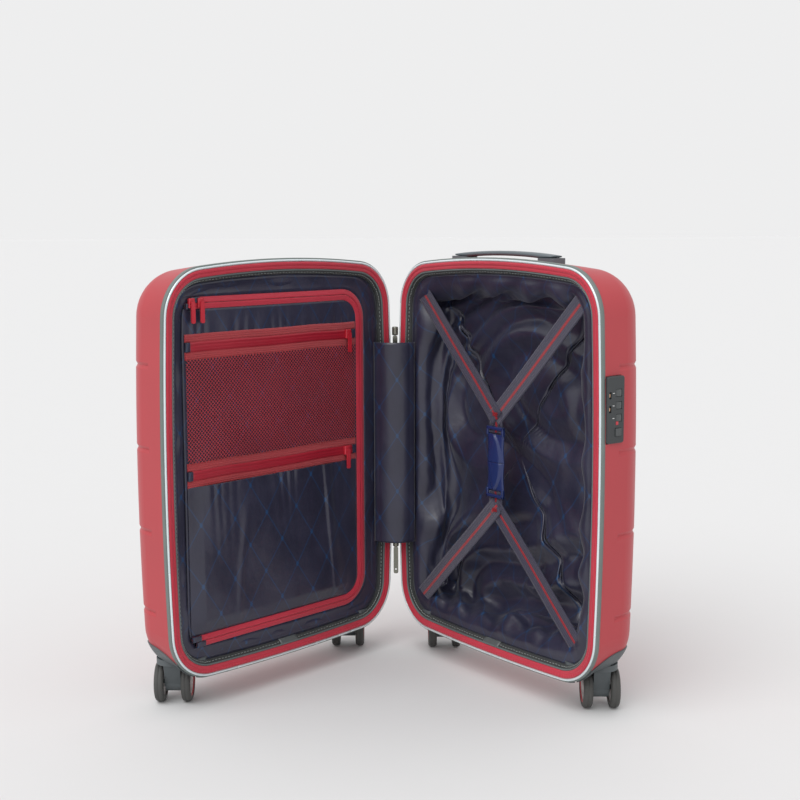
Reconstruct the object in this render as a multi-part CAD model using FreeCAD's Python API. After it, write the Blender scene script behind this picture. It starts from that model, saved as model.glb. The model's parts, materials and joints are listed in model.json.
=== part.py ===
"""Hard shell cabin suitcase on four twin-wheel casters, standing on its wheels and opened like a book.

Millimetres, +Z up. Each half is drawn in its own half frame: x is the distance from the upright hinge
axis, y is the depth behind the parting plane and z is the height above the floor. place_half() turns it
to its opening angle, and centre_shift() says how the whole case moves over the origin.
"""
import FreeCAD, Part
import math
import os

Vector = FreeCAD.Vector

# ---------------------------------------------------------------- driving sizes of the two halves
RIM_WIDTH = 392.0            # outside of the rim, hinge side to free side
RIM_HEIGHT = 510.0           # outside of the rim, bottom to top
WHEEL_RADIUS = 25.0
RIM_LIFT = 2.0 * WHEEL_RADIUS - 14.0  # lowest point of the rim, the wheels reaching 14 up into their wells
HALF_DEPTH = 92.0            # parting plane to back wall
BOW_TOP = 14.0
BOW_BOTTOM = 6.0
BOW_SIDE = 8.0
CORNER_RADIUS = 62.0         # rim corners
BACK_RADIUS = 48.0           # edge between side walls and back wall
DRAFT_DEG = 7.0
WALL = 3.0
HINGE_GAP = 2.5              # hinge axis to the nearest point of the rim
BASE_ANGLE = 53.5            # base rim plane from the X axis
LID_ANGLE = 47.2             # lid rim plane from the X axis

# Edges and middle of the rim, which the places further down are measured from.
RIM_NEAR = HINGE_GAP
RIM_FAR = RIM_NEAR + RIM_WIDTH
RIM_TOP = RIM_LIFT + RIM_HEIGHT
MIDDLE = (RIM_NEAR + RIM_FAR) / 2.0
MID_HEIGHT = (RIM_LIFT + RIM_TOP) / 2.0

# ---------------------------------------------------------------- rim build-up, from the outside inward
FACE_GAP = 0.8               # zip tape to parting plane
SHELL_EDGE = 8.0             # parting plane to the moulded edge of the shell
BAND_WIDTH = 4.5             # grey rim band
BAND_FRONT = 4.0
BEAD_WIDTH = 3.0             # silver piping bead
BEAD_FRONT = 1.6
TAPE_WIDTH = 9.5             # main zip tape with its coil
TAPE_THICK = 2.4
BINDING_WIDTH = 11.0         # black binding tape
BINDING_FRONT = 2.6
LINING_INSET = 28.2
LINING_WALL = 1.2
LINING_RADIUS = 26.0
BASE_LINING_DEPTH = HALF_DEPTH - 27.0  # in front of the trolley tubes
LID_LINING_DEPTH = HALF_DEPTH - 8.0

# ---------------------------------------------------------------- grooves round the shells
GROOVE_FIRST = RIM_LIFT + 87.0
GROOVE_PITCH = (RIM_HEIGHT - 210.0) / 3.0
GROOVE_COUNT = 4
GROOVE_HALF = 4.0
GROOVE_DEEP = 2.0
GROOVE_START = 34.0          # depth behind the parting plane where the side grooves begin

# ---------------------------------------------------------------- casters
TYRE_WIDTH = 11.5
TYRE_RADIAL = 6.0
CORE_WIDTH = 9.0
WHEEL_GAP = 0.8
WEB_WIDTH = 20.0
TRAIL = 8.0
AXLE_RADIUS = 3.0
RUNNING = 0.06               # radial running clearance of axles, pins and dials
CROWN_RADIUS = 20.0
CROWN_LOW = 2.0 * WHEEL_RADIUS + 2.0
WELL_CEILING = 2.0 * WHEEL_RADIUS + 10.0
WELL_WALL = 3.0
WELL_CLEARANCE = 2.2         # wheels' swing circle to the well wall
STEM_RADIUS = 5.0
PIVOT_DEPTH = HALF_DEPTH / 2.0 + 4.0
PIVOT_IN = 43.0              # caster pivots in from each side of the rim
GUARD_THICK = 1.5
GUARD_REACH = 62.0
SCREW_RADIUS = 2.0
SCREW_CIRCLE = 27.0
SCREW_ANGLE = 40.0           # either side of the direction to the middle of the case

# ---------------------------------------------------------------- trolley handle
TROLLEY_SPAN = 160.0         # between tube centres
TUBE_WIDTH = 24.0
TUBE_DEEP = 14.0
TUBE_WALL = 1.2
TUBE_SLIP = 0.3
TUBE_DEPTH = HALF_DEPTH - 15.0  # tube centres behind the parting plane
TUBE_BOTTOM = RIM_LIFT + 52.0
TRAY_FLOOR = RIM_TOP - 52.0
TRAY_WALL = 3.5
TRAY_FRONT = HALF_DEPTH - 26.0
GRIP_LENGTH = 206.0
GRIP_LOW = TRAY_FLOOR + 14.0
GRIP_CLEARANCE = 2.5
BUTTON_LENGTH = 30.0
BUTTON_DEEP = 9.0
BUTTON_FIT = 0.4
BUTTON_TRAVEL = 3.0
FOOT_HEIGHT = 18.0

# ---------------------------------------------------------------- carry handle on the top of the base
HANDLE_SPAN = 164.0          # between its two anchors
HANDLE_DEPTH = 27.0
HANDLE_WIDTH = 20.0
HANDLE_RISE = 7.2            # crown of the grip above its ends
HANDLE_THICK = 4.6
ANCHOR_LENGTH = 30.0
ANCHOR_TOP = RIM_TOP + 0.4
POST_RADIUS = 3.0
POST_SLIP = 0.3
SOCKET_RADIUS = 6.0
SOCKET_DROP = 16.0

# ---------------------------------------------------------------- combination lock on the free side
LOCK_HEIGHT = 78.0
LOCK_CENTRE = GROOVE_FIRST + 2.5 * GROOVE_PITCH + 2.0  # between the two upper grooves
LOCK_NEAR = 9.0
LOCK_FAR = 37.0
LOCK_PROUD = 2.4
LOCK_DEEP = 15.0
DIAL_RADIUS = 7.5
DIAL_HEIGHT = 8.0
DIAL_PITCH = 14.5
DIAL_PROUD = 1.0
DIAL_SLIP = 0.4
SPINDLE_RADIUS = 1.5
PULL_SLOT = (8.0, 3.4, 9.0)  # height, depth-wise width, how far it goes in
RELEASE_SIZE = (9.0, 9.0)
RELEASE_PROUD = 1.4
RELEASE_THICK = 3.6

# ---------------------------------------------------------------- divider in the lid
DIVIDER_FRONT = 9.0
CLOTH = 1.2
DIVIDER_NEAR = RIM_NEAR + 50.5  # outer edge of its zip
DIVIDER_FAR = RIM_FAR - 35.5   # sewn edge, where the flap turns
DIVIDER_LOW = RIM_LIFT + 41.0
FLAP_CLEARANCE = 2.5         # sewn edge to the border beside it
FLAP_PIVOT = 0.5             # the flap turns this far outside its sewn edge
DIVIDER_TOP = RIM_TOP - 43.0
DIVIDER_RADIUS = 40.0
ZIP_HALF = 7.0               # width of one half of a zip with its tape
ZIP_THICK = 1.3
ZIP_SLIT = 0.4
POCKET_UPPER = DIVIDER_TOP - 59.0  # height of the mesh pocket's zip
POCKET_LOWER = MID_HEIGHT - 2.0  # height of the lower pocket's zip
POCKET_ZIP_HALF = 15.5
POCKET_MARGIN = 4.0
MESH_THICK = 0.8

# ---------------------------------------------------------------- zip sliders and pulls
SLIDER_SIZE = (9.0, 4.2, 12.0)
SLIDER_END = 14.0            # divider sliders, in from the sewn edge
SLIDER_RUN = 28.0
PULL_WIDTH = 6.0
PULL_THICK = 1.6
PULL_LENGTH = 26.0
PULL_LIFT = 0.5              # tab to slider
PULL_OVER = 2.0              # top of the tab above the middle of its slider
MAIN_SLIDER_RADIUS = 4.3
MAIN_SLIDER_HEIGHT = 12.0
MAIN_SLIDER_TOP = RIM_TOP - 103.0
MAIN_SLIDER_BOTTOM = RIM_LIFT + 113.0
MAIN_PULL_WIDTH = 6.6
MAIN_PULL_THICK = 1.8
MAIN_PULL_LENGTH = 38.0
MAIN_PULL_GAP = 0.4

# ---------------------------------------------------------------- straps and buckle in the base
STRAP_WIDTH = 24.0
STRAP_THICK = 1.6
STRAP_FRONT = 10.0
STRAP_IN = 43.0              # strap anchors in from each side
STRAP_TOP_IN = 46.0
STRAP_BOTTOM_IN = 46.0
BUCKLE_CENTRE = MID_HEIGHT - 3.0
BUCKLE_LENGTH = 91.0
BUCKLE_WIDTH = 32.0
BUCKLE_THICK = 7.0
BUCKLE_SPLIT = 0.4
TONGUE_WIDTH = 18.0
TONGUE_THICK = 3.0
TONGUE_LENGTH = 22.0

# ---------------------------------------------------------------- hinge fabrics
GUSSET_LOW = RIM_LIFT + 120.0
GUSSET_TOP = RIM_TOP - 116.0
GUSSET_BULGE = 13.0
HINGE_TAPE_EDGE = (3.4, 2.4)  # where it meets each rim, in that half's frame
HINGE_TAPE_BACK = 2.2        # how far it passes behind the hinge axis
HINGE_TAPE_LOW = RIM_LIFT + 124.0
HINGE_TAPE_TOP = RIM_TOP - 150.0

# ---------------------------------------------------------------- derived places
TAPE_INSET = BAND_WIDTH + BEAD_WIDTH
BINDING_INSET = TAPE_INSET + TAPE_WIDTH
PIVOTS = {"rear": RIM_NEAR + PIVOT_IN, "front": RIM_FAR - PIVOT_IN}
WHEEL_OFFSET = WEB_WIDTH / 2.0 + WHEEL_GAP + TYRE_WIDTH / 2.0
SWING = math.hypot(TRAIL + WHEEL_RADIUS, WHEEL_OFFSET + TYRE_WIDTH / 2.0)
WELL_RADIUS = SWING + WELL_CLEARANCE
DRAFT = math.tan(math.radians(DRAFT_DEG))


# ================================================================ small helpers
def box(x0, x1, y0, y1, z0, z1):
    """A block between two corners."""
    return Part.makeBox(x1 - x0, y1 - y0, z1 - z0, Vector(x0, y0, z0))


def rod(radius, x, y, z0, z1):
    """An upright cylinder."""
    return Part.makeCylinder(radius, z1 - z0, Vector(x, y, z0))


def soft_box(x0, x1, y0, y1, z0, z1, radius):
    """A block with every edge rounded."""
    block = box(x0, x1, y0, y1, z0, z1)
    return block.makeFillet(radius, block.Edges)


def arc_edge(start, middle, end, depth):
    """An arc through three (x, z) points at one depth."""
    points = [Vector(p[0], depth, p[1]) for p in (start, middle, end)]
    return Part.Arc(*points).toShape()


def bow_radius(half_chord, rise):
    """Radius of the arc that rises by rise over half_chord."""
    return (half_chord ** 2 + rise ** 2) / (2.0 * rise)


# Centre x, centre z and radius of the four long arcs of the rim.
TOP_RADIUS = bow_radius(RIM_WIDTH / 2.0, BOW_TOP)
BOTTOM_RADIUS = bow_radius(RIM_WIDTH / 2.0, BOW_BOTTOM)
SIDE_RADIUS = bow_radius(RIM_HEIGHT / 2.0, BOW_SIDE)
SIDES = {
    "top": (MIDDLE, RIM_TOP - TOP_RADIUS, TOP_RADIUS),
    "bottom": (MIDDLE, RIM_LIFT + BOTTOM_RADIUS, BOTTOM_RADIUS),
    "hinge": (RIM_NEAR + SIDE_RADIUS, MID_HEIGHT, SIDE_RADIUS),
    "free": (RIM_FAR - SIDE_RADIUS, MID_HEIGHT, SIDE_RADIUS),
}
CORNERS = (
    ("bottom", "free", (RIM_FAR, RIM_LIFT)),
    ("free", "top", (RIM_FAR, RIM_TOP)),
    ("top", "hinge", (RIM_NEAR, RIM_TOP)),
    ("hinge", "bottom", (RIM_NEAR, RIM_LIFT)),
)


def corner_centre(first, second, near):
    """Centre of the corner arc that touches two long arcs from inside."""
    x1, z1, r1 = SIDES[first]
    x2, z2, r2 = SIDES[second]
    r1 -= CORNER_RADIUS
    r2 -= CORNER_RADIUS
    gap = math.hypot(x2 - x1, z2 - z1)
    along = (r1 * r1 - r2 * r2 + gap * gap) / (2.0 * gap)
    across = math.sqrt(r1 * r1 - along * along)
    ux = (x2 - x1) / gap
    uz = (z2 - z1) / gap
    both = [(x1 + along * ux - s * across * uz, z1 + along * uz + s * across * ux) for s in (1, -1)]
    return min(both, key=lambda p: math.hypot(p[0] - near[0], p[1] - near[1]))


def on_arc(centre, radius, towards):
    """The point of a circle that lies towards another point."""
    dx = towards[0] - centre[0]
    dz = towards[1] - centre[1]
    scale = radius / math.hypot(dx, dz)
    return (centre[0] + dx * scale, centre[1] + dz * scale)


def outline(inset, depth):
    """The rim's bowed, round-cornered outline, moved inward by inset, at one depth."""
    joints = []
    for first, second, near in CORNERS:
        centre = corner_centre(first, second, near)
        ends = []
        for side in (first, second):
            x, z, radius = SIDES[side]
            ends.append(on_arc((x, z), radius - inset, centre))
        joints.append((ends[0], centre, ends[1], second))
    edges = []
    for index, (start, centre, end, side) in enumerate(joints):
        halfway = ((start[0] + end[0]) / 2.0, (start[1] + end[1]) / 2.0)
        edges.append(arc_edge(start, on_arc(centre, CORNER_RADIUS - inset, halfway), end, depth))
        following = joints[(index + 1) % len(joints)][0]
        x, z, radius = SIDES[side]
        halfway = ((end[0] + following[0]) / 2.0, (end[1] + following[1]) / 2.0)
        edges.append(arc_edge(end, on_arc((x, z), radius - inset, halfway), following, depth))
    return Part.Wire(edges)


def plate(inset, near, far):
    """A flat plate with the rim's outline."""
    return Part.Face(outline(inset, near)).extrude(Vector(0, far - near, 0))


def ring(outer, inner, near, far):
    """A flat ring that follows the rim."""
    return plate(outer, near, far).cut(plate(inner, near - 1.0, far + 1.0))


def draft_inset(depth):
    """How far the shell wall has leaned inward at a depth."""
    return max(0.0, depth - SHELL_EDGE) * DRAFT


def tub(grow, near, far, radius):
    """A drafted tub with a rounded back edge, grown outward by grow."""
    sections = [outline(draft_inset(near) - grow, near), outline(draft_inset(far) - grow, far)]
    body = Part.makeLoft(sections, True, True)
    back = [e for e in body.Edges if all(abs(v.Point.y - far) < 1e-6 for v in e.Vertexes)]
    return body.makeFillet(radius, back)


def rounded_sheet(x0, x1, z0, z1, radius, near, far):
    """An upright sheet whose two corners on the hinge side are rounded."""
    turn = radius * (1.0 - math.sqrt(0.5))
    edges = [
        Part.LineSegment(Vector(x1, near, z1), Vector(x0 + radius, near, z1)).toShape(),
        arc_edge((x0 + radius, z1), (x0 + turn, z1 - turn), (x0, z1 - radius), near),
        Part.LineSegment(Vector(x0, near, z1 - radius), Vector(x0, near, z0 + radius)).toShape(),
        arc_edge((x0, z0 + radius), (x0 + turn, z0 + turn), (x0 + radius, z0), near),
        Part.LineSegment(Vector(x0 + radius, near, z0), Vector(x1, near, z0)).toShape(),
        Part.LineSegment(Vector(x1, near, z0), Vector(x1, near, z1)).toShape(),
    ]
    return Part.Face(Part.Wire(edges)).extrude(Vector(0, far - near, 0))


# ================================================================ shells and rims
OUTER = tub(0.0, SHELL_EDGE, HALF_DEPTH, BACK_RADIUS)
INNER = tub(-WALL, SHELL_EDGE - 1.0, HALF_DEPTH - WALL, BACK_RADIUS - WALL)
GROWN = tub(GUARD_THICK, SHELL_EDGE, HALF_DEPTH + GUARD_THICK, BACK_RADIUS + GUARD_THICK)


def side_place(side, height):
    """Distance of one side of the rim from the hinge axis at a height."""
    x, z, radius = SIDES[side]
    reach = math.sqrt(radius ** 2 - (height - z) ** 2)
    return x - reach if side == "hinge" else x + reach


def level_section(height, grow, place):
    """The shell's level section at one height, grown by grow and drawn at the height place."""
    back = HALF_DEPTH + grow
    radius = BACK_RADIUS + grow
    tangent = radius * math.tan(math.radians(90.0 - DRAFT_DEG) / 2.0)
    lean = Vector(math.sin(math.radians(DRAFT_DEG)), math.cos(math.radians(DRAFT_DEG)), 0)
    left = side_place("hinge", height) - grow
    right = side_place("free", height) + grow
    run = (back - SHELL_EDGE) * DRAFT
    front_left = Vector(left, SHELL_EDGE, place)
    front_right = Vector(right, SHELL_EDGE, place)
    corner_left = Vector(left + run, back, place)
    corner_right = Vector(right - run, back, place)
    ends = [corner_left - lean * tangent, corner_left + Vector(tangent, 0, 0)]
    ends += [corner_right - Vector(tangent, 0, 0),
             corner_right - Vector(-lean.x, lean.y, 0) * tangent]
    middles = []
    for corner, end in ((corner_left, ends[1]), (corner_right, ends[2])):
        centre = end - Vector(0, radius, 0)
        middles.append(centre + (corner - centre).normalize() * radius)
    return Part.Wire([
        Part.LineSegment(front_left, ends[0]).toShape(),
        Part.Arc(ends[0], middles[0], ends[1]).toShape(),
        Part.LineSegment(ends[1], ends[2]).toShape(),
        Part.Arc(ends[2], middles[1], ends[3]).toShape(),
        Part.LineSegment(ends[3], front_right).toShape(),
        Part.LineSegment(front_right, front_left).toShape(),
    ])


def groove_cutter(height):
    """A V-shaped band that lies on the outside of the shell at one height."""
    reach = 2.0 * GROOVE_HALF
    sections = [level_section(height, GROOVE_DEEP, height - reach),
                level_section(height, -GROOVE_DEEP, height),
                level_section(height, GROOVE_DEEP, height + reach)]
    kept = Part.makeLoft(sections, True, True)
    slab = box(-50, RIM_FAR + 50, GROOVE_START, HALF_DEPTH + 50, height - 1.5 * GROOVE_HALF,
               height + 1.5 * GROOVE_HALF)
    return slab.cut(kept)


def make_shell():
    """A moulded half shell with its V grooves and its two wheel wells cut out."""
    shell = OUTER.cut(INNER)
    for index in range(GROOVE_COUNT):
        shell = shell.cut(groove_cutter(GROOVE_FIRST + index * GROOVE_PITCH))
    for pivot in PIVOTS.values():
        shell = shell.cut(rod(WELL_RADIUS + WELL_WALL, pivot, PIVOT_DEPTH, 0.0, WELL_CEILING + WELL_WALL))
    return shell


def make_rim_trim():
    """The grey rim band on the shell's edge and the silver piping bead inside it."""
    band = ring(0.0, BAND_WIDTH, BAND_FRONT, SHELL_EDGE)
    bead = ring(BAND_WIDTH, TAPE_INSET, BEAD_FRONT, BAND_FRONT + 2.0)
    return Part.makeCompound([band, bead])


def make_zip_tape():
    """The main zip's tape: its coil face at the mouth and the flange sewn behind the rim band."""
    face = ring(TAPE_INSET, BINDING_INSET, FACE_GAP, FACE_GAP + TAPE_THICK)
    riser = ring(TAPE_INSET, TAPE_INSET + 1.5, FACE_GAP + 1.0, SHELL_EDGE - 1.0)
    flange = ring(BAND_WIDTH, BINDING_INSET, BAND_FRONT + 2.0, SHELL_EDGE)
    return face.fuse([riser, flange]).removeSplitter()


def make_binding():
    """The black binding tape inside the zip tape."""
    return ring(BINDING_INSET, BINDING_INSET + BINDING_WIDTH, BINDING_FRONT, SHELL_EDGE)


def make_lining(depth):
    """The loose cloth lining, as a thin tub."""
    outside = tub(-LINING_INSET, SHELL_EDGE, depth, LINING_RADIUS)
    inside = tub(-LINING_INSET - LINING_WALL, SHELL_EDGE - 1.0, depth - LINING_WALL,
                 LINING_RADIUS - LINING_WALL)
    return outside.cut(inside)


def make_housing(pivot):
    """A wheel housing: the corner guard outside and the wheel well inside the shell."""
    low = WELL_CEILING - WELL_RADIUS
    well = rod(WELL_RADIUS + WELL_WALL, pivot, PIVOT_DEPTH, low, WELL_CEILING + WELL_WALL)
    skin = GROWN.cut(OUTER).common(Part.makeSphere(GUARD_REACH, Vector(pivot, PIVOT_DEPTH, WHEEL_RADIUS)))
    housing = well.common(OUTER).fuse(skin)
    housing = housing.cut(rod(WELL_RADIUS, pivot, PIVOT_DEPTH, 0.0, WELL_CEILING))
    return housing.cut(rod(STEM_RADIUS + RUNNING, pivot, PIVOT_DEPTH, 0.0, RIM_TOP)).removeSplitter()


def housing_screw(pivot, angle):
    """One screw that holds a housing's ceiling: a shank in the ceiling and a head above it."""
    x = pivot + SCREW_CIRCLE * math.cos(angle)
    y = PIVOT_DEPTH + SCREW_CIRCLE * math.sin(angle)
    shank = rod(SCREW_RADIUS, x, y, WELL_CEILING + 0.5, WELL_CEILING + WELL_WALL)
    head = rod(2.0 * SCREW_RADIUS, x, y, WELL_CEILING + WELL_WALL, WELL_CEILING + WELL_WALL + 0.9)
    return shank.fuse(head)


# ================================================================ casters, drawn about their own pivot
def make_fork():
    """The swivelling fork: stem, crown and the web between the wheels."""
    boss = 12.0
    half = WEB_WIDTH / 2.0
    stem = rod(STEM_RADIUS, 0.0, 0.0, CROWN_LOW, WELL_CEILING + WELL_WALL + 1.0)
    crown = rod(CROWN_RADIUS, 0.0, 0.0, CROWN_LOW, WELL_CEILING - 0.5)
    corners = [(-15.0, CROWN_LOW + 1.0), (17.0, CROWN_LOW + 1.0), (TRAIL + boss, WHEEL_RADIUS),
               (TRAIL - boss, WHEEL_RADIUS)]
    points = [Vector(-half, y, z) for y, z in corners]
    web = Part.Face(Part.makePolygon(points + points[:1])).extrude(Vector(WEB_WIDTH, 0, 0))
    round_end = Part.makeCylinder(boss, WEB_WIDTH, Vector(-half, TRAIL, WHEEL_RADIUS), Vector(1, 0, 0))
    fork = stem.fuse([crown, web, round_end]).removeSplitter()
    return fork.cut(make_axle())


def make_axle():
    """The steel axle, pressed into the web."""
    length = WEB_WIDTH + 2.0 * (WHEEL_GAP + CORE_WIDTH - 1.5)
    return Part.makeCylinder(AXLE_RADIUS, length, Vector(-length / 2.0, TRAIL, WHEEL_RADIUS),
                             Vector(1, 0, 0))


def make_wheel(side):
    """One wheel of a pair, a dished core in a round-shouldered tyre. side is -1 or 1."""
    axis = Vector(1, 0, 0)
    centre = Vector(side * WHEEL_OFFSET, TRAIL, WHEEL_RADIUS)
    inner = WHEEL_RADIUS - TYRE_RADIAL

    def disc(radius, width, shift):
        start = centre + Vector(side * shift - width / 2.0, 0, 0)
        return Part.makeCylinder(radius, width, start, axis)

    tyre = disc(WHEEL_RADIUS, TYRE_WIDTH, 0.0)
    tyre = tyre.makeFillet(TYRE_RADIAL * 0.55, [e for e in tyre.Edges if e.Length > WHEEL_RADIUS])
    tyre = tyre.cut(disc(inner, TYRE_WIDTH + 2.0, 0.0))
    core = disc(inner, CORE_WIDTH, 0.0)
    core = core.cut(disc(inner - 3.0, 2.0, CORE_WIDTH / 2.0))
    core = core.cut(disc(AXLE_RADIUS + RUNNING, CORE_WIDTH - 1.0, -1.0))
    return Part.makeCompound([tyre, core])


# ================================================================ trolley handle
def tube(centre, level, low, high):
    """One rectangular tube of the telescope. level 0 is the outermost."""
    shrink = level * 2.0 * (TUBE_WALL + TUBE_SLIP)
    width = TUBE_WIDTH - shrink
    deep = TUBE_DEEP - shrink
    outside = box(centre - width / 2.0, centre + width / 2.0, TUBE_DEPTH - deep / 2.0,
                  TUBE_DEPTH + deep / 2.0, low, high)
    inside = box(centre - width / 2.0 + TUBE_WALL, centre + width / 2.0 - TUBE_WALL,
                 TUBE_DEPTH - deep / 2.0 + TUBE_WALL, TUBE_DEPTH + deep / 2.0 - TUBE_WALL, low - 1, high + 1)
    return outside.cut(inside)


def tube_pair(level, low, high):
    """Both tubes of one stage."""
    centres = (MIDDLE - TROLLEY_SPAN / 2.0, MIDDLE + TROLLEY_SPAN / 2.0)
    return Part.makeCompound([tube(centre, level, low, high) for centre in centres])


def tray_block():
    """The block of space that the trolley tray takes out of the shell."""
    half = GRIP_LENGTH / 2.0 + GRIP_CLEARANCE + TRAY_WALL
    return box(MIDDLE - half, MIDDLE + half, TRAY_FRONT, HALF_DEPTH + 20.0, TRAY_FLOOR, RIM_TOP + 20.0)


def make_tray():
    """The recessed tray that the grip parks in, with a hole for each telescope."""
    half = GRIP_LENGTH / 2.0 + GRIP_CLEARANCE
    tray = OUTER.common(tray_block())
    tray = tray.cut(box(MIDDLE - half, MIDDLE + half, TRAY_FRONT + TRAY_WALL, HALF_DEPTH + 20.0,
                        TRAY_FLOOR + TRAY_WALL, RIM_TOP + 20.0))
    for side in (-1, 1):
        centre = MIDDLE + side * TROLLEY_SPAN / 2.0
        wide = TUBE_WIDTH / 2.0 - TUBE_WALL
        deep = TUBE_DEEP / 2.0 - TUBE_WALL
        tray = tray.cut(box(centre - wide, centre + wide, TUBE_DEPTH - deep, TUBE_DEPTH + deep,
                            TRAY_FLOOR - 1.0, TRAY_FLOOR + TRAY_WALL + 1.0))
    return tray


def button_well():
    """The pocket in the grip that the push-button moves in."""
    half = BUTTON_LENGTH / 2.0
    depth = TRAY_FRONT + TRAY_WALL + GRIP_CLEARANCE + 2.0
    return box(MIDDLE - half, MIDDLE + half, depth, depth + BUTTON_DEEP, GRIP_LOW + 4.0, RIM_TOP + 5.0)


def make_grip():
    """The trolley grip. Its top follows the curve of the shell's back edge."""
    half = GRIP_LENGTH / 2.0
    front = TRAY_FRONT + TRAY_WALL + GRIP_CLEARANCE
    grip = box(MIDDLE - half, MIDDLE + half, front, HALF_DEPTH, GRIP_LOW, RIM_TOP)
    grip = grip.common(tub(-1.0, SHELL_EDGE, HALF_DEPTH - 1.0, BACK_RADIUS - 1.0))
    upright = [e for e in grip.Edges if abs(e.tangentAt(e.FirstParameter).z) > 0.99 and e.Length > 5.0]
    grip = grip.makeFillet(3.0, upright)
    return grip.cut(button_well())


def make_grip_button():
    """The push-button on the grip, flush with the grip's top."""
    well = button_well()
    low = well.BoundBox.ZMin + BUTTON_TRAVEL + 1.0
    block = box(well.BoundBox.XMin + BUTTON_FIT, well.BoundBox.XMax - BUTTON_FIT,
                well.BoundBox.YMin + BUTTON_FIT, well.BoundBox.YMax - BUTTON_FIT, low, RIM_TOP)
    return block.common(OUTER)


def make_foot():
    """The bracket that holds the lower ends of the outer tubes to the back wall."""
    half = TROLLEY_SPAN / 2.0 + TUBE_WIDTH / 2.0 + 5.0
    foot = box(MIDDLE - half, MIDDLE + half, TUBE_DEPTH - TUBE_DEEP / 2.0 - 1.0, HALF_DEPTH,
               TUBE_BOTTOM - FOOT_HEIGHT, TUBE_BOTTOM)
    return foot.common(INNER)


# ================================================================ carry handle
def anchor_centres():
    """Distances of the two carry handle anchors from the hinge axis."""
    return [MIDDLE - HANDLE_SPAN / 2.0, MIDDLE + HANDLE_SPAN / 2.0]


def make_anchor(centre):
    """A handle anchor: a plate on the shell's top and a socket through it."""
    half = HANDLE_WIDTH / 2.0 + 2.0
    block = box(centre - ANCHOR_LENGTH / 2.0, centre + ANCHOR_LENGTH / 2.0, HANDLE_DEPTH - half,
                HANDLE_DEPTH + half, ANCHOR_TOP - SOCKET_DROP, ANCHOR_TOP)
    upright = [e for e in block.Edges if abs(e.tangentAt(e.FirstParameter).z) > 0.99]
    block = block.makeFillet(6.0, upright)
    socket = rod(SOCKET_RADIUS, centre, HANDLE_DEPTH, ANCHOR_TOP - SOCKET_DROP, ANCHOR_TOP - 1.0)
    anchor = block.cut(OUTER).fuse(socket)
    bore = rod(POST_RADIUS + POST_SLIP, centre, HANDLE_DEPTH, ANCHOR_TOP - SOCKET_DROP + 2.0, ANCHOR_TOP + 1.0)
    return anchor.cut(bore)


def make_carry_handle():
    """The soft arch of the carry handle with a post at each end."""
    low = ANCHOR_TOP + 0.3
    half = HANDLE_SPAN / 2.0
    tip = half + 11.0
    root = half - 13.0
    near = HANDLE_DEPTH - HANDLE_WIDTH / 2.0
    under = (low + HANDLE_RISE - HANDLE_THICK, low + 2.4)
    points = {
        "left": Vector(MIDDLE - tip, near, low),
        "left_in": Vector(MIDDLE - root, near, low),
        "under": Vector(MIDDLE, near, under[0]),
        "right_in": Vector(MIDDLE + root, near, low),
        "right": Vector(MIDDLE + tip, near, low),
        "right_up": Vector(MIDDLE + tip, near, under[1]),
        "crown": Vector(MIDDLE, near, low + HANDLE_RISE),
        "left_up": Vector(MIDDLE - tip, near, under[1]),
    }
    edges = [
        Part.LineSegment(points["left"], points["left_in"]).toShape(),
        Part.Arc(points["left_in"], points["under"], points["right_in"]).toShape(),
        Part.LineSegment(points["right_in"], points["right"]).toShape(),
        Part.LineSegment(points["right"], points["right_up"]).toShape(),
        Part.Arc(points["right_up"], points["crown"], points["left_up"]).toShape(),
        Part.LineSegment(points["left_up"], points["left"]).toShape(),
    ]
    arch = Part.Face(Part.Wire(edges)).extrude(Vector(0, HANDLE_WIDTH, 0))
    for centre in anchor_centres():
        arch = arch.fuse(rod(POST_RADIUS, centre, HANDLE_DEPTH, ANCHOR_TOP - SOCKET_DROP + 3.0, low + 1.0))
    return arch.removeSplitter()


# ================================================================ combination lock
LOCK_FACE = RIM_FAR - draft_inset(LOCK_NEAR) + LOCK_PROUD - 1.0
DIAL_X = LOCK_FACE - DIAL_RADIUS + DIAL_PROUD
DIAL_Y = LOCK_FAR - DIAL_RADIUS - 1.8


def lock_block(grow):
    """The lock's outer block, grown by grow on its four edges."""
    half = LOCK_HEIGHT / 2.0 + grow
    return box(LOCK_FACE - LOCK_DEEP, LOCK_FACE, LOCK_NEAR - grow, LOCK_FAR + grow, LOCK_CENTRE - half,
               LOCK_CENTRE + half)


def dial_heights():
    """Heights of the three dials, which stand in the upper half of the lock."""
    return [LOCK_CENTRE + 5.0 + (index - 1) * DIAL_PITCH for index in range(3)]


def make_dial(height):
    """One number dial."""
    dial = rod(DIAL_RADIUS, DIAL_X, DIAL_Y, height - DIAL_HEIGHT / 2.0, height + DIAL_HEIGHT / 2.0)
    dial = dial.makeChamfer(0.6, [e for e in dial.Edges if e.Length > 2.0 * DIAL_RADIUS])
    return dial.cut(rod(SPINDLE_RADIUS + RUNNING, DIAL_X, DIAL_Y, height - DIAL_HEIGHT, height + DIAL_HEIGHT))


def release_place():
    """Centre depth and height of the release button."""
    return (DIAL_Y - 1.0, LOCK_CENTRE - LOCK_HEIGHT / 2.0 + 13.0)


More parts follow.
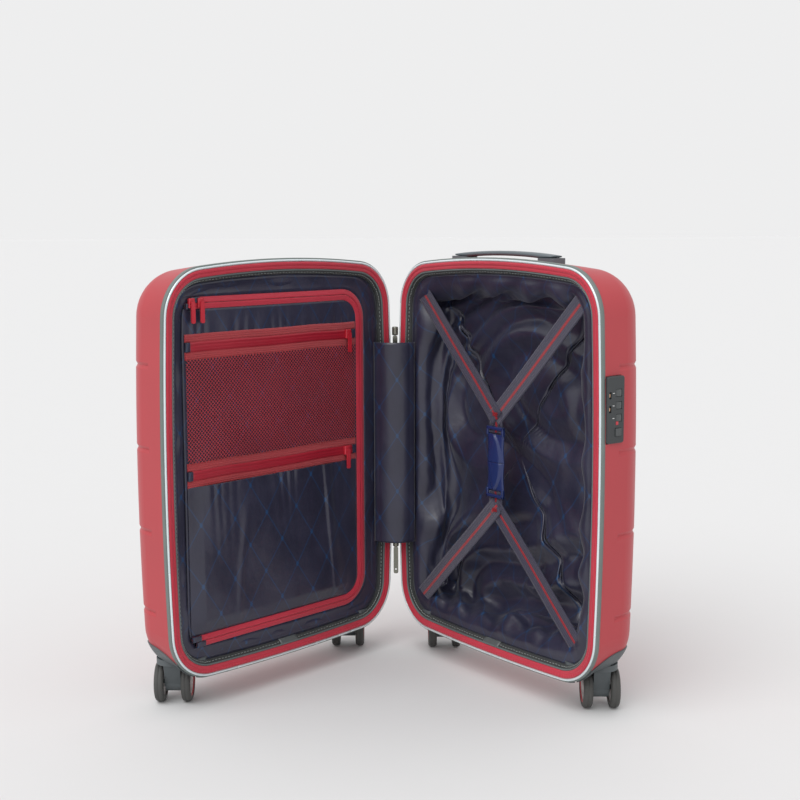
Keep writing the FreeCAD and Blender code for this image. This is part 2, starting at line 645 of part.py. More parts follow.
def make_lock_case():
    """The lock case with dial windows, two pull slots, a spindle and the release button's well."""
    case = lock_block(0.0)
    case = case.makeFillet(3.0, [e for e in case.Edges if abs(e.tangentAt(e.FirstParameter).x) > 0.99])
    case = case.makeChamfer(1.0, [e for e in case.Edges if abs(e.CenterOfMass.x - LOCK_FACE) < 0.01])
    for height in dial_heights():
        half = DIAL_HEIGHT / 2.0 + DIAL_SLIP
        case = case.cut(rod(DIAL_RADIUS + DIAL_SLIP, DIAL_X, DIAL_Y, height - half, height + half))
    low, high = min(dial_heights()), max(dial_heights())
    case = case.fuse(rod(SPINDLE_RADIUS, DIAL_X, DIAL_Y, low - DIAL_PITCH / 2.0, high + DIAL_PITCH / 2.0))
    tall, wide, deep = PULL_SLOT
    for height in (LOCK_CENTRE + 17.0, LOCK_CENTRE + 1.0):
        case = case.cut(box(LOCK_FACE - deep, LOCK_FACE + 1.0, LOCK_NEAR + 3.0, LOCK_NEAR + 3.0 + wide,
                            height - tall / 2.0, height + tall / 2.0))
    depth, height = release_place()
    half_y = RELEASE_SIZE[0] / 2.0 + BUTTON_FIT
    half_z = RELEASE_SIZE[1] / 2.0 + BUTTON_FIT
    return case.cut(box(LOCK_FACE - RELEASE_THICK - 1.4, LOCK_FACE + 1.0, depth - half_y, depth + half_y,
                        height - half_z, height + half_z))


def make_release():
    """The lock's release button."""
    depth, height = release_place()
    half_y = RELEASE_SIZE[0] / 2.0
    half_z = RELEASE_SIZE[1] / 2.0
    return soft_box(LOCK_FACE + RELEASE_PROUD - RELEASE_THICK, LOCK_FACE + RELEASE_PROUD, depth - half_y,
                    depth + half_y, height - half_z, height + half_z, 0.6)


# ================================================================ divider, pockets and zips
def divider_sheet(grow, near, far):
    """The divider's outline, shrunk inward from its zip's outer edge by grow."""
    return rounded_sheet(DIVIDER_NEAR + grow, DIVIDER_FAR, DIVIDER_LOW + grow, DIVIDER_TOP - grow,
                         DIVIDER_RADIUS - grow, near, far)


def inside_lining(clearance):
    """The front of the space inside the lining, less a clearance."""
    return plate(LINING_INSET + LINING_WALL + clearance, 0.0, 2.0 * DIVIDER_FRONT)


def make_divider_border():
    """The cloth frame round the divider and the half of the divider zip that is sewn to it."""
    cloth = inside_lining(1.0).common(box(0.0, RIM_FAR, DIVIDER_FRONT, DIVIDER_FRONT + CLOTH, 0.0, RIM_TOP))
    opening = rounded_sheet(DIVIDER_NEAR, DIVIDER_FAR + FLAP_CLEARANCE, DIVIDER_LOW, DIVIDER_TOP, DIVIDER_RADIUS,
                            DIVIDER_FRONT - 1.0, DIVIDER_FRONT + CLOTH + 1.0)
    tape = divider_sheet(0.0, DIVIDER_FRONT - 0.1, DIVIDER_FRONT + CLOTH)
    tape = tape.cut(divider_sheet(ZIP_HALF, 0.0, HALF_DEPTH)).common(inside_lining(1.0))
    return Part.makeCompound([cloth.cut(opening), tape])


def make_divider_zip():
    """The half of the divider zip that is sewn to the flap."""
    start = ZIP_HALF + ZIP_SLIT
    band = divider_sheet(start, DIVIDER_FRONT - 0.1, DIVIDER_FRONT + CLOTH)
    return band.cut(divider_sheet(start + ZIP_HALF, 0.0, HALF_DEPTH)).common(inside_lining(2.0))


def make_divider_panel():
    """The cloth flap inside the divider zip."""
    sheet = divider_sheet(2.0 * ZIP_HALF + ZIP_SLIT, DIVIDER_FRONT, DIVIDER_FRONT + CLOTH)
    return sheet.common(inside_lining(2.0))


POCKET_NEAR = DIVIDER_NEAR + 2.0 * ZIP_HALF + ZIP_SLIT + POCKET_MARGIN - 2.0
POCKET_FAR = DIVIDER_FAR - POCKET_MARGIN


def make_pocket_zips():
    """The two pocket zips with their tapes, laid across the flap."""
    bands = []
    for height in (POCKET_UPPER, POCKET_LOWER):
        bands.append(box(POCKET_NEAR, POCKET_FAR, DIVIDER_FRONT - ZIP_THICK, DIVIDER_FRONT,
                         height - POCKET_ZIP_HALF, height + POCKET_ZIP_HALF))
    return Part.makeCompound(bands)


def make_pocket_mesh():
    """The mesh between the two pocket zips."""
    return box(POCKET_NEAR, POCKET_FAR, DIVIDER_FRONT - MESH_THICK, DIVIDER_FRONT,
               POCKET_LOWER + POCKET_ZIP_HALF, POCKET_UPPER - POCKET_ZIP_HALF)


def make_slider(x, back, height):
    """A zip slider lying on a zip, with its back at a depth."""
    wide, deep, tall = SLIDER_SIZE
    return soft_box(x - wide / 2.0, x + wide / 2.0, back - deep, back, height - tall / 2.0,
                    height + tall / 2.0, 1.2)


def make_pull(x, back, height):
    """The flat tab that hangs from a slider."""
    front = back - SLIDER_SIZE[1] - PULL_THICK - PULL_LIFT
    top = height + PULL_OVER
    tab = box(x - PULL_WIDTH / 2.0, x + PULL_WIDTH / 2.0, front, front + PULL_THICK, top - PULL_LENGTH, top)
    return tab.makeFillet(2.0, [e for e in tab.Edges if abs(e.tangentAt(e.FirstParameter).y) > 0.99])


def slider_with_pull(x, back, height):
    """A slider, its bridge and its tab."""
    bridge = box(x - 1.5, x + 1.5, back - SLIDER_SIZE[1] - PULL_LIFT, back - SLIDER_SIZE[1] + 1.0, height - 2.0,
                 height + 1.5)
    slider = make_slider(x, back, height).fuse(bridge)
    return Part.makeCompound([slider.cut(make_pull(x, back, height)), make_pull(x, back, height)])


# ================================================================ straps and buckle
BUCKLE_TOP = BUCKLE_CENTRE + BUCKLE_LENGTH / 2.0
BUCKLE_BOTTOM = BUCKLE_CENTRE - BUCKLE_LENGTH / 2.0
BUCKLE_NEAR = STRAP_FRONT + STRAP_THICK / 2.0 - BUCKLE_THICK / 2.0
BUCKLE_FAR = BUCKLE_NEAR + BUCKLE_THICK


def strap_leg(anchor_x, anchor_z, end_z):
    """One leg of a strap, from a corner to the buckle's end."""
    dx = MIDDLE - anchor_x
    dz = end_z - anchor_z
    length = math.hypot(dx, dz)
    nx = -dz / length * STRAP_WIDTH / 2.0
    nz = dx / length * STRAP_WIDTH / 2.0
    corners = [(anchor_x + nx, anchor_z + nz), (anchor_x - nx, anchor_z - nz),
               (MIDDLE - nx, end_z - nz), (MIDDLE + nx, end_z + nz)]
    points = [Vector(x, STRAP_FRONT, z) for x, z in corners]
    return Part.Face(Part.makePolygon(points + points[:1])).extrude(Vector(0, STRAP_THICK, 0))


def make_strap(anchor_z, end_z):
    """A V of webbing: two legs that meet in a short tab at the buckle."""
    legs = [strap_leg(x, anchor_z, end_z) for x in (RIM_NEAR + STRAP_IN, RIM_FAR - STRAP_IN)]
    outward = 1.0 if anchor_z > end_z else -1.0
    low, high = sorted((end_z - outward * 6.0, end_z + outward * 4.0))
    keep = box(0.0, RIM_FAR, 0.0, HALF_DEPTH, *sorted((end_z - outward * 2.0, end_z + outward * 600.0)))
    strap = legs[0].fuse(legs[1]).common(keep)
    tab = box(MIDDLE - STRAP_WIDTH / 2.0, MIDDLE + STRAP_WIDTH / 2.0, STRAP_FRONT,
              STRAP_FRONT + STRAP_THICK, low, high)
    strap = strap.fuse(tab).common(plate(LINING_INSET + LINING_WALL + 0.8, 0.0, HALF_DEPTH))
    return strap.cut(make_buckle_socket()).cut(make_buckle_tongue()).removeSplitter()


def make_buckle_socket():
    """The buckle's upper half, with the cavity that takes the tongue."""
    half = BUCKLE_WIDTH / 2.0
    block = soft_box(MIDDLE - half, MIDDLE + half, BUCKLE_NEAR, BUCKLE_FAR, BUCKLE_CENTRE, BUCKLE_TOP, 2.5)
    middle = (BUCKLE_NEAR + BUCKLE_FAR) / 2.0
    cavity = box(MIDDLE - TONGUE_WIDTH / 2.0 - BUCKLE_SPLIT, MIDDLE + TONGUE_WIDTH / 2.0 + BUCKLE_SPLIT,
                 middle - TONGUE_THICK / 2.0 - BUCKLE_SPLIT, middle + TONGUE_THICK / 2.0 + BUCKLE_SPLIT,
                 BUCKLE_CENTRE - 1.0, BUCKLE_CENTRE + TONGUE_LENGTH + 1.0)
    slot = box(MIDDLE - STRAP_WIDTH / 2.0 - 1.0, MIDDLE + STRAP_WIDTH / 2.0 + 1.0, BUCKLE_NEAR - 1.0,
               BUCKLE_FAR + 1.0, BUCKLE_TOP - 9.0, BUCKLE_TOP - 4.0)
    return block.cut(cavity).cut(slot)


def make_buckle_tongue():
    """The buckle's lower half with its tongue."""
    half = BUCKLE_WIDTH / 2.0
    block = soft_box(MIDDLE - half, MIDDLE + half, BUCKLE_NEAR, BUCKLE_FAR, BUCKLE_BOTTOM,
                     BUCKLE_CENTRE - BUCKLE_SPLIT, 2.5)
    middle = (BUCKLE_NEAR + BUCKLE_FAR) / 2.0
    tongue = box(MIDDLE - TONGUE_WIDTH / 2.0, MIDDLE + TONGUE_WIDTH / 2.0, middle - TONGUE_THICK / 2.0,
                 middle + TONGUE_THICK / 2.0, BUCKLE_CENTRE - 8.0, BUCKLE_CENTRE + TONGUE_LENGTH)
    slot = box(MIDDLE - STRAP_WIDTH / 2.0 - 1.0, MIDDLE + STRAP_WIDTH / 2.0 + 1.0, BUCKLE_NEAR - 1.0,
               BUCKLE_FAR + 1.0, BUCKLE_BOTTOM + 4.0, BUCKLE_BOTTOM + 9.0)
    return block.fuse(tongue).cut(slot).removeSplitter()


# ================================================================ main zip sliders, on the hinge axis
def make_main_slider(height):
    """A main zip slider parked on the hinge axis."""
    slider = rod(MAIN_SLIDER_RADIUS, 0.0, 0.0, height - MAIN_SLIDER_HEIGHT / 2.0,
                 height + MAIN_SLIDER_HEIGHT / 2.0)
    return slider.makeFillet(1.8, [e for e in slider.Edges if e.Length > 2.0 * MAIN_SLIDER_RADIUS])


def make_main_pull(height):
    """The tab that hangs under a main slider."""
    top = height - MAIN_SLIDER_HEIGHT / 2.0 - MAIN_PULL_GAP
    tab = box(-MAIN_PULL_WIDTH / 2.0, MAIN_PULL_WIDTH / 2.0, -MAIN_PULL_THICK / 2.0, MAIN_PULL_THICK / 2.0,
              top - MAIN_PULL_LENGTH, top)
    tab = tab.makeFillet(2.4, [e for e in tab.Edges if abs(e.tangentAt(e.FirstParameter).y) > 0.99])
    hole = Part.makeCylinder(1.2, 10.0, Vector(0, -5, top - MAIN_PULL_LENGTH + 6.0), Vector(0, 1, 0))
    return tab.cut(hole)


def curved_strip(start, middle, end, thick, low, high):
    """An upright strip of cloth that follows an arc through three (x, y) points."""
    inside = [Vector(p[0], p[1], low) for p in (start, middle, end)]
    circle = Part.Arc(*inside).toShape().Curve
    outside = []
    for point in inside:
        ray = point - circle.Center
        outside.append(circle.Center + ray * ((circle.Radius + thick) / circle.Radius))
    edges = [
        Part.Arc(*inside).toShape(),
        Part.LineSegment(inside[2], outside[2]).toShape(),
        Part.Arc(*outside[::-1]).toShape(),
        Part.LineSegment(outside[0], inside[0]).toShape(),
    ]
    return Part.Face(Part.Wire(edges)).extrude(Vector(0, 0, high - low))


def half_point(side, x, y):
    """The world (x, y) of a point given in the frame of one half."""
    angle = math.radians(-BASE_ANGLE if side == "base" else LID_ANGLE)
    if side == "lid":
        x = -x
    return (x * math.cos(angle) - y * math.sin(angle), x * math.sin(angle) + y * math.cos(angle))


def make_gusset():
    """The cloth gusset that bridges the two halves inside the hinge."""
    edge = side_place("hinge", GUSSET_TOP) + LINING_INSET + 0.8
    start = half_point("base", edge, SHELL_EDGE - 2.0)
    end = half_point("lid", edge, SHELL_EDGE - 2.0)
    middle = ((start[0] + end[0]) / 2.0, (start[1] + end[1]) / 2.0 - GUSSET_BULGE)
    return curved_strip(start, middle, end, CLOTH, GUSSET_LOW, GUSSET_TOP)


def make_hinge_tape():
    """The woven tape behind the hinge axis that holds the two halves together."""
    start = half_point("base", *HINGE_TAPE_EDGE)
    end = half_point("lid", *HINGE_TAPE_EDGE)
    return curved_strip(start, (0.0, HINGE_TAPE_BACK), end, 0.5, HINGE_TAPE_LOW, HINGE_TAPE_TOP)


# ================================================================ placing
def place_half(shape, side):
    """Turn a shape from a half's own frame to its place in the opened case."""
    placed = shape.copy()
    if side == "lid":
        placed = placed.mirror(Vector(0, 0, 0), Vector(1, 0, 0))
        placed.rotate(Vector(0, 0, 0), Vector(0, 0, 1), LID_ANGLE)
    else:
        placed.rotate(Vector(0, 0, 0), Vector(0, 0, 1), -BASE_ANGLE)
    return placed


def build():
    """All pieces by node name, before the case is centred over the origin."""
    nodes = {}
    shell = make_shell()
    lock_hole = lock_block(0.3)
    for side, depth in (("base", BASE_LINING_DEPTH), ("lid", LID_LINING_DEPTH)):
        own_shell = shell
        if side == "base":
            own_shell = shell.cut(lock_hole).cut(tray_block())
            for centre in anchor_centres():
                own_shell = own_shell.cut(rod(SOCKET_RADIUS, centre, HANDLE_DEPTH, MID_HEIGHT, RIM_TOP + 5.0))
        nodes[side + "_shell"] = place_half(own_shell, side)
        nodes[side + "_rim_trim"] = place_half(make_rim_trim(), side)
        nodes[side + "_zip_tape"] = place_half(make_zip_tape(), side)
        nodes[side + "_binding"] = place_half(make_binding(), side)
        nodes[side + "_lining"] = place_half(make_lining(depth), side)
        screws = []
        housings = []
        for pivot in PIVOTS.values():
            housing = make_housing(pivot)
            inward = 0.0 if pivot < MIDDLE else 180.0
            for turn in (-SCREW_ANGLE, SCREW_ANGLE):
                screw = housing_screw(pivot, math.radians(inward + turn))
                housing = housing.cut(screw)
                screws.append(screw)
            housings.append(housing)
        nodes[side + "_caster_housings"] = place_half(Part.makeCompound(housings), side)
        nodes[side + "_caster_screws"] = place_half(Part.makeCompound(screws), side)
        for name, pivot in PIVOTS.items():
            x, y = half_point(side, pivot, PIVOT_DEPTH)
            pieces = {
                "fork": Part.makeCompound([make_fork(), make_axle()]),
                "wheel_left": make_wheel(-1),
                "wheel_right": make_wheel(1),
            }
            for piece, solid in pieces.items():
                nodes["{}_{}_{}".format(side, name, piece)] = solid.translated(Vector(x, y, 0))

    base_only = {
        "trolley_tray": make_tray(),
        "trolley_outer_tubes": tube_pair(0, TUBE_BOTTOM, TRAY_FLOOR),
        "trolley_middle_tubes": tube_pair(1, TUBE_BOTTOM + 4.0, TRAY_FLOOR + 5.0),
        "trolley_inner_tubes": tube_pair(2, TUBE_BOTTOM + 8.0, GRIP_LOW),
        "trolley_grip": make_grip(),
        "trolley_button": make_grip_button(),
        "trolley_foot": make_foot(),
        "carry_handle_anchors": Part.makeCompound([make_anchor(x) for x in anchor_centres()]),
        "carry_handle": make_carry_handle(),
        "lock_case": make_lock_case(),
        "lock_release": make_release(),
        "strap_upper": make_strap(RIM_TOP - STRAP_TOP_IN, BUCKLE_TOP - 2.0),
        "strap_lower": make_strap(RIM_LIFT + STRAP_BOTTOM_IN, BUCKLE_BOTTOM + 2.0),
        "buckle_socket": make_buckle_socket(),
        "buckle_tongue": make_buckle_tongue(),
    }
    for index, height in enumerate(dial_heights()):
        base_only["lock_dial_{}".format(index + 1)] = make_dial(height)
    for name, solid in base_only.items():
        nodes[name] = place_half(solid, "base")

    zip_line = DIVIDER_TOP - ZIP_HALF
    flap_face = DIVIDER_FRONT - 0.2
    pocket_face = DIVIDER_FRONT - ZIP_THICK - 0.1
    lid_only = {
        "divider_border": make_divider_border(),
        "divider_zip": make_divider_zip(),
        "divider_panel": make_divider_panel(),
        "pocket_zips": make_pocket_zips(),
        "pocket_mesh": make_pocket_mesh(),
        "divider_slider_end": make_slider(DIVIDER_FAR - SLIDER_END, flap_face, zip_line),
        "divider_pull_end": make_pull(DIVIDER_FAR - SLIDER_END, flap_face, zip_line),
        "divider_slider_run": slider_with_pull(DIVIDER_FAR - SLIDER_RUN, flap_face, zip_line),
        "pocket_slider_upper": slider_with_pull(POCKET_NEAR + 16.0, pocket_face, POCKET_UPPER),
        "pocket_slider_lower": slider_with_pull(POCKET_NEAR + 20.0, pocket_face, POCKET_LOWER),
    }
    for name, solid in lid_only.items():
        nodes[name] = place_half(solid, "lid")

    nodes["hinge_gusset"] = make_gusset()
    nodes["hinge_tape"] = make_hinge_tape()
    for name, height in (("top", MAIN_SLIDER_TOP), ("bottom", MAIN_SLIDER_BOTTOM)):
        nodes["zip_slider_" + name] = make_main_slider(height)
        nodes["zip_pull_" + name] = make_main_pull(height)
    return nodes


def centre_shift(nodes):
    """The move that puts the middle of the case's footprint over the origin, wheels on z = 0."""
    whole = FreeCAD.BoundBox()
    for shape in nodes.values():
        whole.add(shape.optimalBoundingBox(False))
    return Vector(-(whole.XMin + whole.XMax) / 2.0, -(whole.YMin + whole.YMax) / 2.0, -whole.ZMin)


def main():
    """Build every piece and write one STEP file for each node."""
    os.makedirs("parts", exist_ok=True)
    nodes = build()
    shift = centre_shift(nodes)
    print("hinge axis at", round(shift.x, 4), round(shift.y, 4), "floor shift", round(shift.z, 4))
    for name, shape in nodes.items():
        if not shape.isValid() or shape.Volume <= 0.0:
            print("check", name, shape.isValid(), shape.Volume)
        shape.translated(shift).exportStep("parts/{}.step".format(name))


if __name__ == "__main__":
    main()
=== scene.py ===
"""Hard shell cabin suitcase, opened like a book on its twin-wheel casters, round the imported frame.

Metres, +Z up. Each half is drawn in its own half frame: x is the distance from the upright hinge axis,
y is the depth behind the parting plane and z is the height above the floor.
"""
import json
import logging
import math
from dataclasses import dataclass
from enum import Enum
from functools import lru_cache
from typing import Callable, ClassVar, Iterable, Sequence

import bmesh
import bpy
from mathutils import Matrix, Vector, noise


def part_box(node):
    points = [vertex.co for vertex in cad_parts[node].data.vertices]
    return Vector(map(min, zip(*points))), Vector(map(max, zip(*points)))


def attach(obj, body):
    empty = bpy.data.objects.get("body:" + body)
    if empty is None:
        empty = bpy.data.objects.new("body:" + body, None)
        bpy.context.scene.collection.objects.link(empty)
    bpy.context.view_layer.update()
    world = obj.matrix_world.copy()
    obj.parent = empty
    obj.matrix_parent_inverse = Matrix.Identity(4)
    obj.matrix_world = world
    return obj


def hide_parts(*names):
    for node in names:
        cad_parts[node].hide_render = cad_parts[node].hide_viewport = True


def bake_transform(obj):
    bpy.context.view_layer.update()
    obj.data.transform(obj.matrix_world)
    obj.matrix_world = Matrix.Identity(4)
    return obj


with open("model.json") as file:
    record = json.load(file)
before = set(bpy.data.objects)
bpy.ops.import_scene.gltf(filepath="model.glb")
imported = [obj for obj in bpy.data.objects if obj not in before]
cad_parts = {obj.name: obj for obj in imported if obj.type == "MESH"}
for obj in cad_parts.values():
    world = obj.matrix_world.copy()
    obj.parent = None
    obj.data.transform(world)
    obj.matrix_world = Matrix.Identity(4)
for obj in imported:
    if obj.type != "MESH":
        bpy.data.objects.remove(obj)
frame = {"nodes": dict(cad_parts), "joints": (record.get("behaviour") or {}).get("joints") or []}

LOG = logging.getLogger("suitcase")
DRAFT = 0.1228  # tangent of the shell walls' seven degree draft
CLOTH_GAP = 0.0012  # kept free between a lining and its shell
TRIM_STEP = 0.004  # between two stations of a rim trim
BINDING_INSET = 0.0206  # of the binding's inner edge
BASE_LINING_DEPTH = 0.065
LID_LINING_DEPTH = 0.084
Colour = tuple[float, float, float]
Pair = tuple[float, float]
Object = bpy.types.Object


# ================================================================ shader graph helper
class Graph:
    """A material's node tree, with short calls for the nodes that the finishes share."""

    def __init__(self, name: str) -> None:
        """Start an empty material of that name with its surface shader.

        Args:
            name: The material's name.
        """
        self.material = bpy.data.materials.new(name)
        self.material.use_nodes = True
        self.tree = self.material.node_tree
        self.tree.nodes.clear()
        self.shader = self.tree.nodes.new("ShaderNodeBsdfPrincipled")
        output = self.tree.nodes.new("ShaderNodeOutputMaterial")
        self.link(self.shader.outputs[0], output.inputs[0])

    def link(self, out: bpy.types.NodeSocket, into: bpy.types.NodeSocket) -> None:
        """Join two sockets."""
        self.tree.links.new(out, into)

    def set(self, **values: float) -> None:
        """Set constants on the surface shader's own sockets, spaces written as underscores."""
        for name, value in values.items():
            self.shader.inputs[name.replace("_", " ")].default_value = value

    def math(self, operation: str, *values: object) -> bpy.types.NodeSocket:
        """Add a Math node.

        Args:
            operation: The node's operation.
            values: Numbers or sockets for its inputs.

        Returns:
            The node's output socket.
        """
        node = self.tree.nodes.new("ShaderNodeMath")
        node.operation = operation
        for socket, value in zip(node.inputs, values):
            if isinstance(value, bpy.types.NodeSocket):
                self.link(value, socket)
            else:
                socket.default_value = value
        return node.outputs[0]

    def place(self, kind: str, stretch: Colour = (1.0, 1.0, 1.0)) -> bpy.types.NodeSocket:
        """Add texture coordinates of one kind, Object or UV, stretched along their axes.

        Args:
            kind: Which coordinates.
            stretch: Their scale along each axis.

        Returns:
            The coordinates' socket.
        """
        source = self.tree.nodes.new("ShaderNodeTexCoord")
        mapping = self.tree.nodes.new("ShaderNodeMapping")
        mapping.inputs["Scale"].default_value = stretch
        self.link(source.outputs[kind], mapping.inputs["Vector"])
        return mapping.outputs[0]

    def noise(self, vector: bpy.types.NodeSocket, scale: float, detail: float = 3.0) -> bpy.types.NodeSocket:
        """Add a noise texture.

        Args:
            vector: Where the texture is read.
            scale: Its scale.
            detail: Its detail.

        Returns:
            The noise value's socket.
        """
        node = self.tree.nodes.new("ShaderNodeTexNoise")
        node.inputs["Scale"].default_value = scale
        node.inputs["Detail"].default_value = detail
        self.link(vector, node.inputs["Vector"])
        return node.outputs[0]

    def blend(self, share: bpy.types.NodeSocket, low: object, high: object) -> bpy.types.NodeSocket:
        """Mix two colours.

        Args:
            share: The second colour's share, from 0 to 1.
            low: The first colour, or its socket.
            high: The second colour, or its socket.

        Returns:
            The mixed colour's socket.
        """
        node = self.tree.nodes.new("ShaderNodeMix")
        node.data_type = "RGBA"
        self.link(share, node.inputs["Factor"])
        for socket, value in ((node.inputs[6], low), (node.inputs[7], high)):
            if isinstance(value, bpy.types.NodeSocket):
                self.link(value, socket)
            else:
                socket.default_value = (*value, 1.0)
        return node.outputs[2]

    def spread(self, value: bpy.types.NodeSocket, low: float, high: float,
               start: float = 0.3, end: float = 0.7) -> bpy.types.NodeSocket:
        """Stretch the part of a value between start and end over low to high.

        Args:
            value: The value's socket.
            low: What start becomes.
            high: What end becomes.
            start: Lower end of the part.
            end: Upper end of the part.

        Returns:
            The stretched value's socket.
        """
        node = self.tree.nodes.new("ShaderNodeMapRange")
        self.link(value, node.inputs["Value"])
        for name, number in (("From Min", start), ("From Max", end), ("To Min", low), ("To Max", high)):
            node.inputs[name].default_value = number
        return node.outputs[0]

    def bump(self, height: bpy.types.NodeSocket, strength: float, distance: float,
             under: bpy.types.NodeSocket | None = None) -> bpy.types.NodeSocket:
        """Lay a bump on the surface, or on another bump.

        Args:
            height: The height's socket.
            strength: How strong the bump is.
            distance: Its full height in metres.
            under: A bump that lies under it.

        Returns:
            The bumped normal's socket.
        """
        node = self.tree.nodes.new("ShaderNodeBump")
        node.inputs["Strength"].default_value = strength
        node.inputs["Distance"].default_value = distance
        self.link(height, node.inputs["Height"])
        if under is not None:
            self.link(under, node.inputs["Normal"])
        return node.outputs[0]

    def done(self, colour: bpy.types.NodeSocket, rough: bpy.types.NodeSocket,
             normal: bpy.types.NodeSocket) -> bpy.types.Material:
        """Join colour, roughness and normal to the shader.

        Args:
            colour: The base colour's socket.
            rough: The roughness's socket.
            normal: The normal's socket.

        Returns:
            The finished material.
        """
        self.link(colour, self.shader.inputs["Base Color"])
        self.link(rough, self.shader.inputs["Roughness"])
        self.link(normal, self.shader.inputs["Normal"])
        return self.material


# ================================================================ finishes
@dataclass(frozen=True)
class Finish:
    """A moulded, painted or metal surface: two close tones, a fine grain and a little gloss change."""

    name: str
    slot: str
    dark: Colour
    light: Colour
    rough: Pair = (0.35, 0.5)
    grain: float = 900.0
    grain_depth: float = 0.00008
    bump: float = 0.25
    patch: float = 14.0
    stretch: Colour = (1.0, 1.0, 1.0)
    metallic: float = 0.0
    coat: float = 0.0
    sheen: float = 0.0
    specular: float = 0.5
    made: ClassVar[dict[str, bpy.types.Material]] = {}

    def material(self) -> bpy.types.Material:
        """Make the finish's material the first time it is asked for.

        Returns:
            The material.
        """
        if self.name not in Finish.made:
            Finish.made[self.name] = self.make()
        return Finish.made[self.name]

    def start(self) -> Graph:
        """Start a graph with this finish's constants set on its shader.

        Returns:
            The graph.
        """
        graph = Graph(self.name)
        graph.set(Metallic=self.metallic, Coat_Weight=self.coat, Coat_Roughness=0.25,
                  Sheen_Weight=self.sheen, Sheen_Roughness=0.4, Specular_IOR_Level=self.specular)
        return graph

    def make(self) -> bpy.types.Material:
        """Make tone, gloss and grain from two noises in the object's own space.

        Returns:
            The material.
        """
        graph = self.start()
        where = graph.place("Object", self.stretch)
        patch = graph.noise(where, self.patch)
        grain = graph.noise(where, self.grain, 2.0)
        tone = graph.math("ADD", graph.math("MULTIPLY", patch, 0.7), graph.math("MULTIPLY", grain, 0.3))
        colour = graph.blend(graph.spread(tone, 0.0, 1.0), self.dark, self.light)
        rough = graph.spread(patch, self.rough[0], self.rough[1])
        return graph.done(colour, rough, graph.bump(grain, self.bump, self.grain_depth))


@dataclass(frozen=True)
class Woven(Finish):
    """A woven tape: fine ribs across its run and a faint sheen."""

    rib: float = 0.0011
    wale: float = 0.0016

    def ribs(self, graph: Graph) -> bpy.types.NodeSocket:
        """Add the weave's height, from the piece's own run and width in metres.

        Args:
            graph: The graph that the weave is added to.

        Returns:
            The weave's height, from about -1.6 to 1.6.
        """
        split = graph.tree.nodes.new("ShaderNodeSeparateXYZ")
        graph.link(graph.place("UV"), split.inputs[0])
        across = graph.math("SINE", graph.math("MULTIPLY", split.outputs[0], 2.0 * math.pi / self.rib))
        along = graph.math("SINE", graph.math("MULTIPLY", split.outputs[1], 2.0 * math.pi / self.wale))
        return graph.math("MULTIPLY_ADD", along, 0.6, across)

    def make(self) -> bpy.types.Material:
        """Make the weave from sines along and across, with tone patches over it.

        Returns:
            The material.
        """
        graph = self.start()
        where = graph.place("Object", self.stretch)
        patch = graph.noise(where, self.patch)
        weave = self.ribs(graph)
        tone = graph.math("MULTIPLY_ADD", graph.spread(weave, 0.0, 1.0, -1.6, 1.6), 0.5,
                          graph.math("MULTIPLY", patch, 0.5))
        colour = graph.blend(graph.spread(tone, 0.0, 1.0, 0.2, 0.8), self.dark, self.light)
        rough = graph.spread(patch, self.rough[0], self.rough[1])
        fine = graph.bump(graph.noise(where, self.grain, 2.0), 0.3, self.grain_depth)
        return graph.done(colour, rough, graph.bump(weave, self.bump, 0.0002, fine))


@dataclass(frozen=True)
class StripedWebbing(Woven):
    """Strap webbing with one woven stripe down its middle."""

    stripe: Colour = (0.33, 0.008, 0.018)
    stripe_half: float = 0.0018

    def make(self) -> bpy.types.Material:
        """Make the webbing's weave, with the stripe where the width coordinate is near zero.

        Returns:
            The material.
        """
        graph = self.start()
        where = graph.place("Object", self.stretch)
        patch = graph.noise(where, self.patch)
        weave = self.ribs(graph)
        split = graph.tree.nodes.new("ShaderNodeSeparateXYZ")
        graph.link(graph.place("UV"), split.inputs[0])
        edge = graph.math("ABSOLUTE", split.outputs[1])
        inside = graph.spread(edge, 1.0, 0.0, self.stripe_half * 0.9, self.stripe_half * 1.1)
        cloth = graph.blend(graph.spread(weave, 0.0, 1.0, -1.6, 1.6), self.dark, self.light)
        colour = graph.blend(inside, cloth, self.stripe)
        rough = graph.spread(patch, self.rough[0], self.rough[1])
        return graph.done(colour, rough, graph.bump(weave, self.bump, 0.00025))


